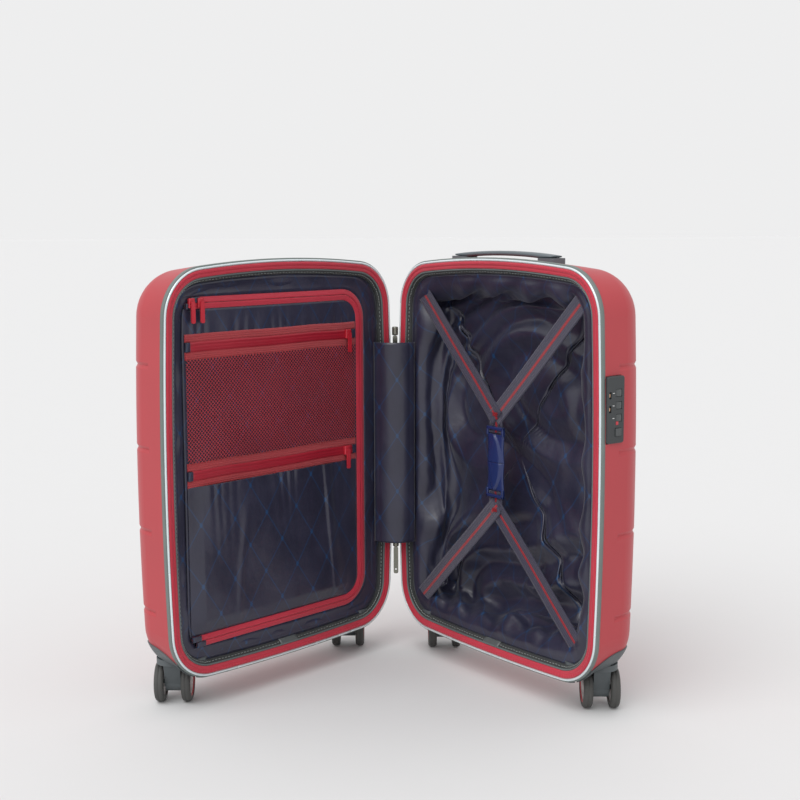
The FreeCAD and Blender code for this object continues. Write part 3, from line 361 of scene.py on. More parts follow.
@dataclass(frozen=True)
class LatticeCloth(Finish):
    """Satin lining cloth with a thin woven diamond lattice and a small square at every second crossing."""

    line: Colour = (0.012, 0.05, 0.135)
    pitch: Pair = (0.052, 0.076)
    line_half: float = 0.021
    square_half: float = 0.05

    def make(self) -> bpy.types.Material:
        """Make the lattice from two slanted ramps, over a satin cloth with a fine weave.

        Returns:
            The material.
        """
        graph = self.start()
        split = graph.tree.nodes.new("ShaderNodeSeparateXYZ")
        graph.link(graph.place("UV"), split.inputs[0])
        across = graph.math("DIVIDE", split.outputs[0], self.pitch[0])
        up = graph.math("DIVIDE", split.outputs[1], self.pitch[1])
        slants = []
        for operation in ("ADD", "SUBTRACT"):
            ramp = graph.math("FRACT", graph.math(operation, across, up))
            slants.append(graph.math("ABSOLUTE", graph.math("SUBTRACT", ramp, 0.5)))
        near = graph.math("MINIMUM", slants[0], slants[1])
        far = graph.math("MAXIMUM", slants[0], slants[1])
        lines = graph.spread(near, 0.55, 0.0, self.line_half * 0.6, self.line_half)
        square = graph.spread(far, 1.0, 0.0, self.square_half * 0.9, self.square_half)
        mark = graph.math("MAXIMUM", lines, square)
        where = graph.place("Object")
        patch = graph.noise(where, self.patch)
        cloth = graph.blend(graph.spread(patch, 0.0, 1.0), self.dark, self.light)
        colour = graph.blend(mark, cloth, self.line)
        weave = graph.noise(graph.place("UV", (1.0, 0.35, 1.0)), self.grain, 2.0)
        crease = graph.noise(where, 60.0, 4.0)
        rough = graph.spread(graph.math("SUBTRACT", patch, graph.math("MULTIPLY", mark, 0.2)),
                             self.rough[0], self.rough[1])
        soft = graph.bump(crease, 0.35, 0.002)
        return graph.done(colour, rough, graph.bump(weave, self.bump, self.grain_depth, soft))


SHELL = Finish("shell_polypropylene", "shell_red", (0.42, 0.030, 0.040), (0.47, 0.040, 0.052), (0.36, 0.46),
               grain=1400.0, grain_depth=0.00005, bump=0.35, patch=9.0)
BAND = Finish("rim_band_grey", "rim_grey", (0.13, 0.155, 0.146), (0.17, 0.2, 0.19), (0.4, 0.52), patch=20.0)
BEAD = Finish("piping_silver", "rim_grey", (0.66, 0.74, 0.77), (0.8, 0.88, 0.9), (0.24, 0.34), metallic=0.35)
ZIP_TAPE = Woven("zip_tape_crimson", "zip_crimson", (0.43, 0.013, 0.032), (0.62, 0.028, 0.062), (0.42, 0.6),
                 bump=0.5, sheen=0.3, rib=0.0013, wale=0.0019)
POCKET_TAPE = Woven("pocket_zip_tape", "zip_crimson", (0.32, 0.016, 0.024), (0.48, 0.034, 0.044), (0.45, 0.62),
                    bump=0.8, sheen=0.25, rib=0.0012, wale=0.0024)
POCKET_COIL = Woven("pocket_zip_cover", "zip_crimson", (0.29, 0.006, 0.018), (0.40, 0.012, 0.03), (0.3, 0.4),
                    bump=0.3, rib=0.0014, wale=0.006)
BINDING = Woven("binding_tape", "binding_black", (0.010, 0.012, 0.012), (0.036, 0.040, 0.040), (0.45, 0.65),
                bump=0.8, sheen=0.15, rib=0.0016, wale=0.0022)
BINDING_BEAD = Finish("binding_piping_grey", "binding_black", (0.10, 0.125, 0.125), (0.15, 0.18, 0.18),
                      (0.4, 0.5), grain=700.0)
STITCH = Finish("stitch_thread", "binding_black", (0.22, 0.24, 0.23), (0.36, 0.38, 0.36), (0.5, 0.6))
SATIN = LatticeCloth("lining_satin", "lining_navy", (0.015, 0.015, 0.034), (0.026, 0.026, 0.054), (0.28, 0.40),
                     grain=1500.0, grain_depth=0.00006, bump=0.2, patch=18.0, sheen=0.15, specular=0.66)
WEBBING = StripedWebbing("strap_webbing", "strap_webbing", (0.030, 0.028, 0.052), (0.062, 0.058, 0.098),
                         (0.5, 0.65), bump=0.7, sheen=0.2, rib=0.0011, wale=0.0030)
TACK = Finish("bar_tack_thread", "strap_webbing", (0.3, 0.01, 0.02), (0.42, 0.02, 0.03), (0.5, 0.6))
BUCKLE = Finish("buckle_plastic", "buckle_blue", (0.010, 0.020, 0.090), (0.015, 0.030, 0.130), (0.25, 0.35),
                grain=1200.0, coat=0.15)
NET = Woven("net_thread", "mesh_crimson", (0.40, 0.016, 0.028), (0.60, 0.045, 0.065), (0.45, 0.6), bump=0.4,
            sheen=0.2, rib=0.0009, wale=0.0009)
PULL = Finish("slider_crimson", "slider_crimson", (0.43, 0.012, 0.024), (0.56, 0.03, 0.05), (0.22, 0.32),
              coat=0.3)
GUNMETAL = Finish("slider_gunmetal", "slider_gunmetal", (0.18, 0.18, 0.15), (0.28, 0.28, 0.24), (0.22, 0.34),
                  metallic=0.9)
HOUSING = Finish("housing_plastic", "housing_grey", (0.070, 0.082, 0.088), (0.10, 0.115, 0.122), (0.42, 0.55),
                 grain=700.0, grain_depth=0.00012, bump=0.45)
GRIP = Finish("soft_grip", "handle_grey", (0.085, 0.105, 0.118), (0.125, 0.15, 0.165), (0.4, 0.55),
              grain=600.0, grain_depth=0.0001, bump=0.4)
LOCK = Finish("lock_case_plastic", "lock_grey", (0.026, 0.030, 0.032), (0.042, 0.047, 0.05), (0.38, 0.5),
              grain=800.0, bump=0.3)
DIAL = Finish("dial_plastic", "dial_grey", (0.05, 0.055, 0.057), (0.08, 0.086, 0.088), (0.35, 0.45))
MARK = Finish("index_mark_white", "dial_grey", (0.6, 0.6, 0.6), (0.72, 0.72, 0.72), (0.4, 0.5))
BRASS = Finish("puller_brass", "steel", (0.5, 0.3, 0.18), (0.7, 0.45, 0.3), (0.2, 0.3), metallic=0.9)
STEEL = Finish("bright_steel", "steel", (0.5, 0.5, 0.5), (0.62, 0.62, 0.62), (0.25, 0.38), metallic=1.0)
TUBES = Finish("brushed_aluminium", "aluminium", (0.5, 0.51, 0.53), (0.66, 0.67, 0.69), (0.26, 0.4),
               grain=500.0, stretch=(1.0, 1.0, 0.02), metallic=1.0)
TYRE = Finish("tyre_rubber", "tyre_dark", (0.048, 0.048, 0.046), (0.072, 0.072, 0.068), (0.5, 0.68),
              grain=1100.0, bump=0.4)
HUB = Finish("hub_silver", "steel", (0.42, 0.40, 0.39), (0.62, 0.6, 0.58), (0.26, 0.4), metallic=0.55)
HUB_RED = Finish("hub_ring_red", "shell_red", (0.42, 0.04, 0.05), (0.5, 0.06, 0.07), (0.35, 0.45))
PATCH = Finish("joint_patch_grey", "binding_black", (0.07, 0.08, 0.08), (0.12, 0.13, 0.13), (0.25, 0.4),
               grain=500.0)


# ================================================================ frames and the rim's outline
class Side(Enum):
    """The two halves of the case."""

    BASE = "base"
    LID = "lid"


@dataclass(frozen=True)
class HalfFrame:
    """Places points of one half's own frame in the opened case."""

    side: Side
    opening_deg: float

    def place(self, x: float, y: float, z: float) -> Vector:
        """A point of this half in the row frame.

        Args:
            x: Distance from the hinge axis along the parting plane.
            y: Depth behind the parting plane.
            z: Height above the floor.

        Returns:
            The point in the row frame.
        """
        turn = math.radians(self.opening_deg)
        away = -1.0 if self.side is Side.LID else 1.0
        axis = Vector(HINGE)
        return Vector((axis.x + away * (x * math.cos(turn) + y * math.sin(turn)),
                       axis.y - x * math.sin(turn) + y * math.cos(turn), z))

    @property
    def body(self) -> str:
        """The CAD body that this half is."""
        return self.side.value


HINGE = next(j for j in frame["joints"] if j["name"] == "lid_hinge")["pos_m"]
BASE = HalfFrame(Side.BASE, 53.5)
LID = HalfFrame(Side.LID, 47.2)


@dataclass(frozen=True)
class Station:
    """A point of an outline with its outward direction and how far along it lies."""

    x: float
    z: float
    out_x: float
    out_z: float
    run: float

    def inset(self, amount: float) -> Pair:
        """The (x, z) point that lies inward by an amount."""
        return (self.x - amount * self.out_x, self.z - amount * self.out_z)


@dataclass(frozen=True)
class RimOutline:
    """The bowed, round-cornered outline of both rims."""

    width: float = 0.392
    height: float = 0.510
    lift: float = 0.036
    bow_top: float = 0.014
    bow_bottom: float = 0.006
    bow_side: float = 0.008
    corner: float = 0.062
    hinge_gap: float = 0.0025

    @property
    def far(self) -> float:
        """The free side's distance from the hinge axis."""
        return self.hinge_gap + self.width

    @property
    def top(self) -> float:
        """The rim's highest point."""
        return self.lift + self.height

    @property
    def middle(self) -> Pair:
        """The centre of the rim."""
        return (self.hinge_gap + self.width / 2.0, self.lift + self.height / 2.0)

    def long_arcs(self) -> dict[str, tuple[float, float, float]]:
        """Find the four long arcs of the outline.

        Returns:
            Centre x, centre z and radius of each arc, by its side's name.
        """
        def radius(half: float, rise: float) -> float:
            """Radius of an arc from half its chord and its rise."""
            return (half * half + rise * rise) / (2.0 * rise)

        x, z = self.middle
        top = radius(self.width / 2.0, self.bow_top)
        bottom = radius(self.width / 2.0, self.bow_bottom)
        side = radius(self.height / 2.0, self.bow_side)
        return {
            "top": (x, self.top - top, top),
            "bottom": (x, self.lift + bottom, bottom),
            "hinge": (self.hinge_gap + side, z, side),
            "free": (self.far - side, z, side),
        }

    def corner_centre(self, first: tuple, second: tuple, near: Pair) -> Pair:
        """Centre of the corner arc that touches two long arcs from inside.

        Args:
            first: One long arc, its centre and radius.
            second: The other long arc.
            near: The rectangle's corner beside it.

        Returns:
            The centre's (x, z).
        """
        x1, z1, r1 = first[0], first[1], first[2] - self.corner
        x2, z2, r2 = second[0], second[1], second[2] - self.corner
        gap = math.hypot(x2 - x1, z2 - z1)
        along = (r1 * r1 - r2 * r2 + gap * gap) / (2.0 * gap)
        across = math.sqrt(r1 * r1 - along * along)
        ux, uz = (x2 - x1) / gap, (z2 - z1) / gap
        both = [(x1 + along * ux - s * across * uz, z1 + along * uz + s * across * ux) for s in (1, -1)]
        return min(both, key=lambda p: math.hypot(p[0] - near[0], p[1] - near[1]))

    @lru_cache(maxsize=None)
    def stations(self, step: float) -> list[Station]:
        """Place points once round the outline.

        Args:
            step: The distance between two points, about.

        Returns:
            The outline's points, from the bottom's free end.
        """
        arcs = self.long_arcs()
        corners = (
            ("bottom", "free", (self.far, self.lift)),
            ("free", "top", (self.far, self.top)),
            ("top", "hinge", (self.hinge_gap, self.top)),
            ("hinge", "bottom", (self.hinge_gap, self.lift)),
        )
        centres = [self.corner_centre(arcs[a], arcs[b], near) for a, b, near in corners]
        pieces = []
        for index, (first, second, _) in enumerate(corners):
            centre = centres[index]
            following = centres[(index + 1) % len(corners)]
            x1, z1, _ = arcs[first]
            x2, z2, radius = arcs[second]
            start = math.atan2(centre[1] - z1, centre[0] - x1)
            turn = math.atan2(centre[1] - z2, centre[0] - x2)
            end = math.atan2(following[1] - z2, following[0] - x2)
            pieces.append((centre[0], centre[1], self.corner, start, turn))
            pieces.append((x2, z2, radius, turn, end))
        found = []
        run = 0.0
        for x, z, radius, start, end in pieces:
            sweep = (end - start) % (2.0 * math.pi)
            count = max(2, round(sweep * radius / step))
            for index in range(count):
                angle = start + sweep * index / count
                out = (math.cos(angle), math.sin(angle))
                found.append(Station(x + radius * out[0], z + radius * out[1], out[0], out[1],
                                     run + sweep * radius * index / count))
            run += sweep * radius
        return found

    @lru_cache(maxsize=None)
    def span(self, height: float, inset: float) -> Pair:
        """Find how far the outline reaches at one height.

        Args:
            height: The height above the floor.
            inset: How far the outline is moved in.

        Returns:
            The nearest and the furthest x.
        """
        ring = [s.inset(inset) for s in self.stations(0.006)]
        cuts = []
        for (x1, z1), (x2, z2) in zip(ring, ring[1:] + ring[:1]):
            if (z1 - height) * (z2 - height) < 0.0:
                cuts.append(x1 + (x2 - x1) * (height - z1) / (z2 - z1))
        return (min(cuts), max(cuts))

    def hold(self, x: float, z: float, inset: float) -> Pair:
        """Pull a point toward the rim's centre until it lies inside the outline.

        Args:
            x: The point's distance from the hinge axis.
            z: Its height.
            inset: How far the outline is moved in.

        Returns:
            The point, or the nearest one toward the centre that lies inside.
        """
        middle = self.middle
        turn = math.atan2(z - middle[1], x - middle[0])

        def apart(place: Pair) -> float:
            """Angle between the point's direction and a place's."""
            off = math.atan2(place[1] - middle[1], place[0] - middle[0]) - turn
            return abs(math.atan2(math.sin(off), math.cos(off)))

        edge = min((s.inset(inset) for s in self.stations(0.004)), key=apart)
        share = min(1.0, math.dist(edge, middle) / max(math.dist((x, z), middle), 1e-6))
        return (middle[0] + (x - middle[0]) * share, middle[1] + (z - middle[1]) * share)


RIM = RimOutline()


# ================================================================ mesh helpers
def new_piece(name: str, points: Sequence[Vector], faces: Sequence[Sequence[int]],
              uvs: Sequence[Sequence[Pair]] | None = None, smooth: bool = True) -> Object:
    """Make a mesh object, its faces turned outward.

    Args:
        name: The piece's name.
        points: Vertices in the row frame.
        faces: Vertex indices of each face.
        uvs: For each face, a (run, width) pair in metres for each corner.
        smooth: Whether its faces are shaded smooth.

    Returns:
        The linked object.
    """
    mesh = bpy.data.meshes.new(name)
    mesh.from_pydata([tuple(p) for p in points], [], [tuple(f) for f in faces])
    if uvs is not None:
        layer = mesh.uv_layers.new(name="metres")
        flat = [number for face in uvs for pair in face for number in pair]
        layer.data.foreach_set("uv", flat)
    work = bmesh.new()
    work.from_mesh(mesh)
    bmesh.ops.recalc_face_normals(work, faces=work.faces)
    work.to_mesh(mesh)
    work.free()
    if smooth:
        mesh.shade_smooth()
    piece = bpy.data.objects.new(name, mesh)
    bpy.context.scene.collection.objects.link(piece)
    return piece


def settle(piece: Object) -> Object:
    """Apply the piece's modifiers to its mesh.

    Args:
        piece: The piece.

    Returns:
        The same piece.
    """
    bpy.context.view_layer.update()
    graph = bpy.context.evaluated_depsgraph_get()
    mesh = bpy.data.meshes.new_from_object(piece.evaluated_get(graph))
    piece.modifiers.clear()
    piece.data = mesh
    return piece


def thicken(piece: Object, thickness: float, level: int = 0) -> Object:
    """Give a sheet its thickness, and optionally smooth it first.

    Args:
        piece: The sheet.
        thickness: The cloth's thickness in metres.
        level: Subdivision steps before the thickness is added.

    Returns:
        The same piece, its modifiers applied.
    """
    if level:
        smoother = piece.modifiers.new("Smooth", "SUBSURF")
        smoother.levels = level
        smoother.render_levels = level
    shell = piece.modifiers.new("Thickness", "SOLIDIFY")
    shell.thickness = thickness
    shell.offset = 0.0
    return settle(piece)


def dress(piece: Object, finish: Finish, body: str | None = None, stands_for: Sequence[str] = ()) -> Object:
    """Give a piece its finish and its body, and report it.

    Args:
        piece: The piece, in place.
        finish: What it is made of.
        body: The CAD body it rides on, or None if it is blended between two.
        stands_for: CAD nodes that it replaces.

    Returns:
        The same piece.
    """
    piece.data.materials.clear()
    piece.data.materials.append(finish.material())
    if body is not None:
        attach(piece, body)
    if stands_for:
        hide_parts(*stands_for)
    LOG.info("%s: %s, %d faces", piece.name, finish.name, len(piece.data.polygons))
    return piece


def ring_faces(rings: int, around: int, closed: bool = False) -> list[tuple[int, ...]]:
    """Join rings of equally many points by faces of four corners.

    Args:
        rings: How many rings there are.
        around: Points in each ring.
        closed: Whether the last ring joins the first.

    Returns:
        The faces.
    """
    faces: list[tuple[int, ...]] = []
    for ring in range(rings if closed else rings - 1):
        here, there = ring * around, (ring + 1) % rings * around
        for i in range(around):
            k = (i + 1) % around
            faces.append((here + i, here + k, there + k, there + i))
    return faces


def sheet_faces(rows: int, columns: int, first: int = 0) -> list[tuple[int, ...]]:
    """Join a sheet's rows of points by faces of four corners.

    Args:
        rows: Rows of faces.
        columns: Faces in each row.
        first: The sheet's first point.

    Returns:
        The faces.
    """
    faces: list[tuple[int, ...]] = []
    for row in range(rows):
        for column in range(columns):
            a = first + row * (columns + 1) + column
            faces.append((a, a + 1, a + columns + 2, a + columns + 1))
    return faces


def profile_runs(profile: Sequence[Pair]) -> list[float]:
    """Measure the running length along a closed profile.

    Args:
        profile: The profile's points.

    Returns:
        The length up to each point, with the full length last.
    """
    runs = [0.0]
    for first, second in zip(profile, [*profile[1:], profile[0]]):
        runs.append(runs[-1] + math.dist(first, second))
    return runs


def swept(name: str, stations: Sequence[Station], profile: Sequence[Pair], half: HalfFrame,
          closed: bool = True, shape: Callable[[int, int, Pair], Pair] | None = None) -> Object:
    """Sweep a closed profile along an outline.

    Args:
        name: The piece's name.
        stations: The outline's points.
        profile: (inset, depth) pairs of the closed profile.
        half: The half it belongs to.
        closed: Whether the outline closes on itself.
        shape: Changes a profile point, given the station's index and the point's index.

    Returns:
        The linked object, with a (run, profile length) map in metres.
    """
    points = []
    for i, station in enumerate(stations):
        for j, pair in enumerate(profile):
            inset, depth = shape(i, j, pair) if shape else pair
            x, z = station.inset(inset)
            points.append(half.place(x, depth, z))
    wide = len(profile)
    runs = profile_runs(profile)
    total = stations[-1].run + math.dist((stations[-1].x, stations[-1].z), (stations[0].x, stations[0].z))
    faces, uvs = [], []
    for i in range(len(stations) if closed else len(stations) - 1):
        after = (i + 1) % len(stations)
        here, there = stations[i].run, stations[after].run if after else total
        for j in range(wide):
            k = (j + 1) % wide
            faces.append((i * wide + j, i * wide + k, after * wide + k, after * wide + j))
            uvs.append(((here, runs[j]), (here, runs[j + 1]), (there, runs[j + 1]), (there, runs[j])))
    if not closed:
        for i, run in ((0, stations[0].run), (len(stations) - 1, stations[-1].run)):
            faces.append(tuple(i * wide + j for j in range(wide)))
            uvs.append(tuple((run, runs[j]) for j in range(wide)))
    return new_piece(name, points, faces, uvs)


def grid(name: str, across: int, up: int, where: Callable[[float, float], Vector],
         width: Callable[[float, float], Pair]) -> Object:
    """A sheet over the unit square.

    Args:
        name: The piece's name.
        across: Faces across.
        up: Faces up.
        where: Gives the point at a (u, v) of the unit square.
        width: Gives the map coordinate in metres at a (u, v).

    Returns:
        The linked object.
    """
    points, pairs = [], []
    for j in range(up + 1):
        for i in range(across + 1):
            u, v = i / across, j / up
            points.append(where(u, v))
            pairs.append(width(u, v))
    faces = sheet_faces(up, across)
    return new_piece(name, points, faces, [[pairs[k] for k in f] for f in faces])


def join_parts(name: str, parts: Iterable[tuple[list[Vector], list[tuple[int, ...]]]]) -> Object:
    """Make one piece from several closed shapes.

    Args:
        name: The piece's name.
        parts: The points and the faces of each closed shape.

    Returns:
        The linked object.
    """
    points: list[Vector] = []
    faces: list[tuple[int, ...]] = []
    for own_points, own_faces in parts:
        base = len(points)
        points += own_points
        faces += [tuple(base + k for k in f) for f in own_faces]
    uvs = [[(points[k].x + points[k].y, points[k].z) for k in f] for f in faces]
    return new_piece(name, points, faces, uvs)


def rod_between(start: Vector, end: Vector, radius: float, flat: float = 1.0,
                sides: int = 8) -> tuple[list[Vector], list[tuple[int, ...]]]:
    """A thin round-ended rod between two points, such as a stitch or a thread.

    Args:
        start: One end.
        end: The other end.
        radius: Its radius.
        flat: Its thickness across as a share of its width.
        sides: Faces around it.

    Returns:
        Its points and faces.
    """
    along = (end - start).normalized()
    side = along.cross(Vector((0.0, -1.0, 0.0))).normalized()
    other = along.cross(side)
    points = []
    shoulders = (start + along * radius, end - along * radius)
    for place, scale in ((start, 0.55), (shoulders[0], 1.0), (shoulders[1], 1.0), (end, 0.55)):
        for index in range(sides):
            angle = 2.0 * math.pi * index / sides
            spoke = side * math.cos(angle) + other * (flat * math.sin(angle))
            points.append(place + spoke * radius * scale)
    faces = [tuple(range(sides)), tuple(3 * sides + k for k in range(sides))]
    return points, faces + ring_faces(4, sides)


def rounded_block(low: Colour, high: Colour, radius: float, half: HalfFrame,
                  segments: int = 3) -> tuple[list[Vector], list[tuple[int, ...]]]:
    """A block with rounded edges, given by two corners in a half's frame.

    Args:
        low: Its lowest corner.
        high: Its highest corner.
        radius: The rounding.
        half: The half whose frame the corners are in.
        segments: Steps round each edge.

    Returns:
        Its points and faces.
    """
    work = bmesh.new()
    bmesh.ops.create_cube(work, size=1.0)
    size = Vector(high) - Vector(low)
    centre = (Vector(high) + Vector(low)) / 2.0
    for vertex in work.verts:
        vertex.co = Vector(vertex.co[k] * size[k] + centre[k] for k in range(3))
    bmesh.ops.bevel(work, geom=work.edges[:], offset=radius, segments=segments, profile=0.5, affect="EDGES")
    work.verts.ensure_lookup_table()
    points = [half.place(*v.co) for v in work.verts]
    faces = [tuple(v.index for v in f.verts) for f in work.faces]
    work.free()
    return points, faces


# ================================================================ rims
@dataclass
class Rim:
    """The trims round one half: grey band, silver piping, zip tape with its coil, and binding."""

    half: HalfFrame
    band: tuple[Pair, ...] = ((0.0000, 0.0080), (0.0000, 0.0042), (0.0004, 0.0034), (0.0012, 0.0030),
                              (0.0030, 0.0034), (0.0045, 0.0046), (0.0045, 0.0080))
    bead_radius: float = 0.0015
    bead_place: Pair = (0.0031, 0.0028)
    tooth: float = 0.0009
    tooth_deep: float = 0.00028
    zip_profile: tuple[Pair, ...] = (
        (0.0047, 0.0064), (0.0047, 0.0022), (0.0053, 0.0012), (0.0066, 0.0009), (0.0082, 0.0009),
        (0.0090, 0.0014), (0.0095, 0.0021), (0.0108, 0.0018), (0.0131, 0.0020), (0.0138, 0.0027),
        (0.0142, 0.0080), (0.0048, 0.0080), (0.0048, 0.0066))
    coil_points: tuple[int, ...] = (2, 3, 4, 5)
    binding_profile: tuple[Pair, ...] = (
        (0.0140, 0.0060), (0.0140, 0.0040), (0.0150, 0.0036), (0.0163, 0.0043), (0.0176, 0.0055),
        (0.0189, 0.0070), (0.0200, 0.0086), (0.0206, 0.0104), (0.0196, 0.0112))
    piping_place: Pair = (0.0151, 0.0035)
    piping_radius: float = 0.0011
    stitch_inset: float = 0.0181
    stitch_depth: float = 0.0057
    stitch_length: float = 0.0030
    stitch_pitch: float = 0.0052
    stitch_radius: float = 0.00042
    patch_middle: float = 0.199
    patch_half: float = 0.016

    def build(self) -> None:
        """Make every trim of this half."""
        self.build_band()
        self.build_piping()
        self.build_zip()
        self.build_binding()
        self.build_stitches()
        self.build_patch()

    @property
    def side(self) -> str:
        """The half's name, which starts each piece's name."""
        return self.half.body

    def round_profile(self, centre: Pair, radius: float, sides: int = 10) -> list[Pair]:
        """A round profile about an (inset, depth) centre."""
        turns = [2.0 * math.pi * k / sides for k in range(sides)]
        return [(centre[0] + radius * math.cos(t), centre[1] + radius * math.sin(t)) for t in turns]

    def build_band(self) -> None:
        """The grey band on the shell's edge."""
        piece = swept(f"{self.side}_rim_band", RIM.stations(TRIM_STEP), self.band, self.half)
        dress(piece, BAND, self.side, (f"{self.side}_rim_trim",))

    def build_piping(self) -> None:
        """The silver piping bead inside the band."""
        profile = self.round_profile(self.bead_place, self.bead_radius)
        dress(swept(f"{self.side}_rim_piping", RIM.stations(TRIM_STEP), profile, self.half), BEAD, self.side)

    def build_zip(self) -> None:
        """The zip tape, its coil ridge cut into teeth."""
        def teeth(i: int, j: int, pair: Pair) -> Pair:
            """Lower every second station of the coil ridge."""
            deeper = self.tooth_deep if j in self.coil_points and i % 2 else 0.0
            return (pair[0], pair[1] + deeper)

        piece = swept(f"{self.side}_main_zip", RIM.stations(self.tooth), self.zip_profile, self.half,
                      shape=teeth)
        dress(piece, ZIP_TAPE, self.side, (f"{self.side}_zip_tape",))

    def build_binding(self) -> None:
        """The dark binding tape, a little uneven along its run, with grey piping on its outer edge."""
        stations = RIM.stations(TRIM_STEP)

        def uneven(i: int, j: int, pair: Pair) -> Pair:
            """Ripple the binding's middle.

            Args:
                i: The station's index.
                j: The profile point's index.
                pair: Its inset and depth.

            Returns:
                The moved point.
            """
            station = stations[i]
            ripple = noise.noise(Vector((station.x * 70.0, station.z * 70.0, j * 0.4)))
            return (pair[0], pair[1] + 0.0005 * ripple if 1 < j < 7 else pair[1])

        piece = swept(f"{self.side}_binding_tape", stations, self.binding_profile, self.half, shape=uneven)
        dress(piece, BINDING, self.side, (f"{self.side}_binding",))
        profile = self.round_profile(self.piping_place, self.piping_radius)
        dress(swept(f"{self.side}_binding_piping", stations, profile, self.half), BINDING_BEAD, self.side)

    def build_stitches(self) -> None:
        """The stitch line along the middle of the binding."""
        stations = RIM.stations(self.stitch_pitch)
        parts = []
        for index, station in enumerate(stations):
            wander = 0.0008 * noise.noise(Vector((index * 0.7, 3.0, 0.0)))
            x, z = station.inset(self.stitch_inset + wander)
            reach = self.stitch_length / 2.0
            depth = self.stitch_depth + wander
            start = self.half.place(x + station.out_z * reach, depth, z - station.out_x * reach)
            end = self.half.place(x - station.out_z * reach, depth, z + station.out_x * reach)
            parts.append(rod_between(start, end, self.stitch_radius, sides=6))
        dress(join_parts(f"{self.side}_binding_stitches", parts), STITCH, self.side)

    def build_patch(self) -> None:
        """The grey patch where the binding's two ends meet, in the middle of the bottom."""
        stations = [s for s in RIM.stations(0.003)
                    if abs(s.x - self.patch_middle) < self.patch_half and s.z < RIM.middle[1]]
        profile = ((0.0144, 0.0026), (0.0170, 0.0040), (0.0192, 0.0062), (0.0212, 0.0090), (0.0214, 0.0100),
                   (0.0186, 0.0068), (0.0144, 0.0034))
        piece = swept(f"{self.side}_binding_patch", stations, profile, self.half, closed=False)
        dress(piece, PATCH, self.side)


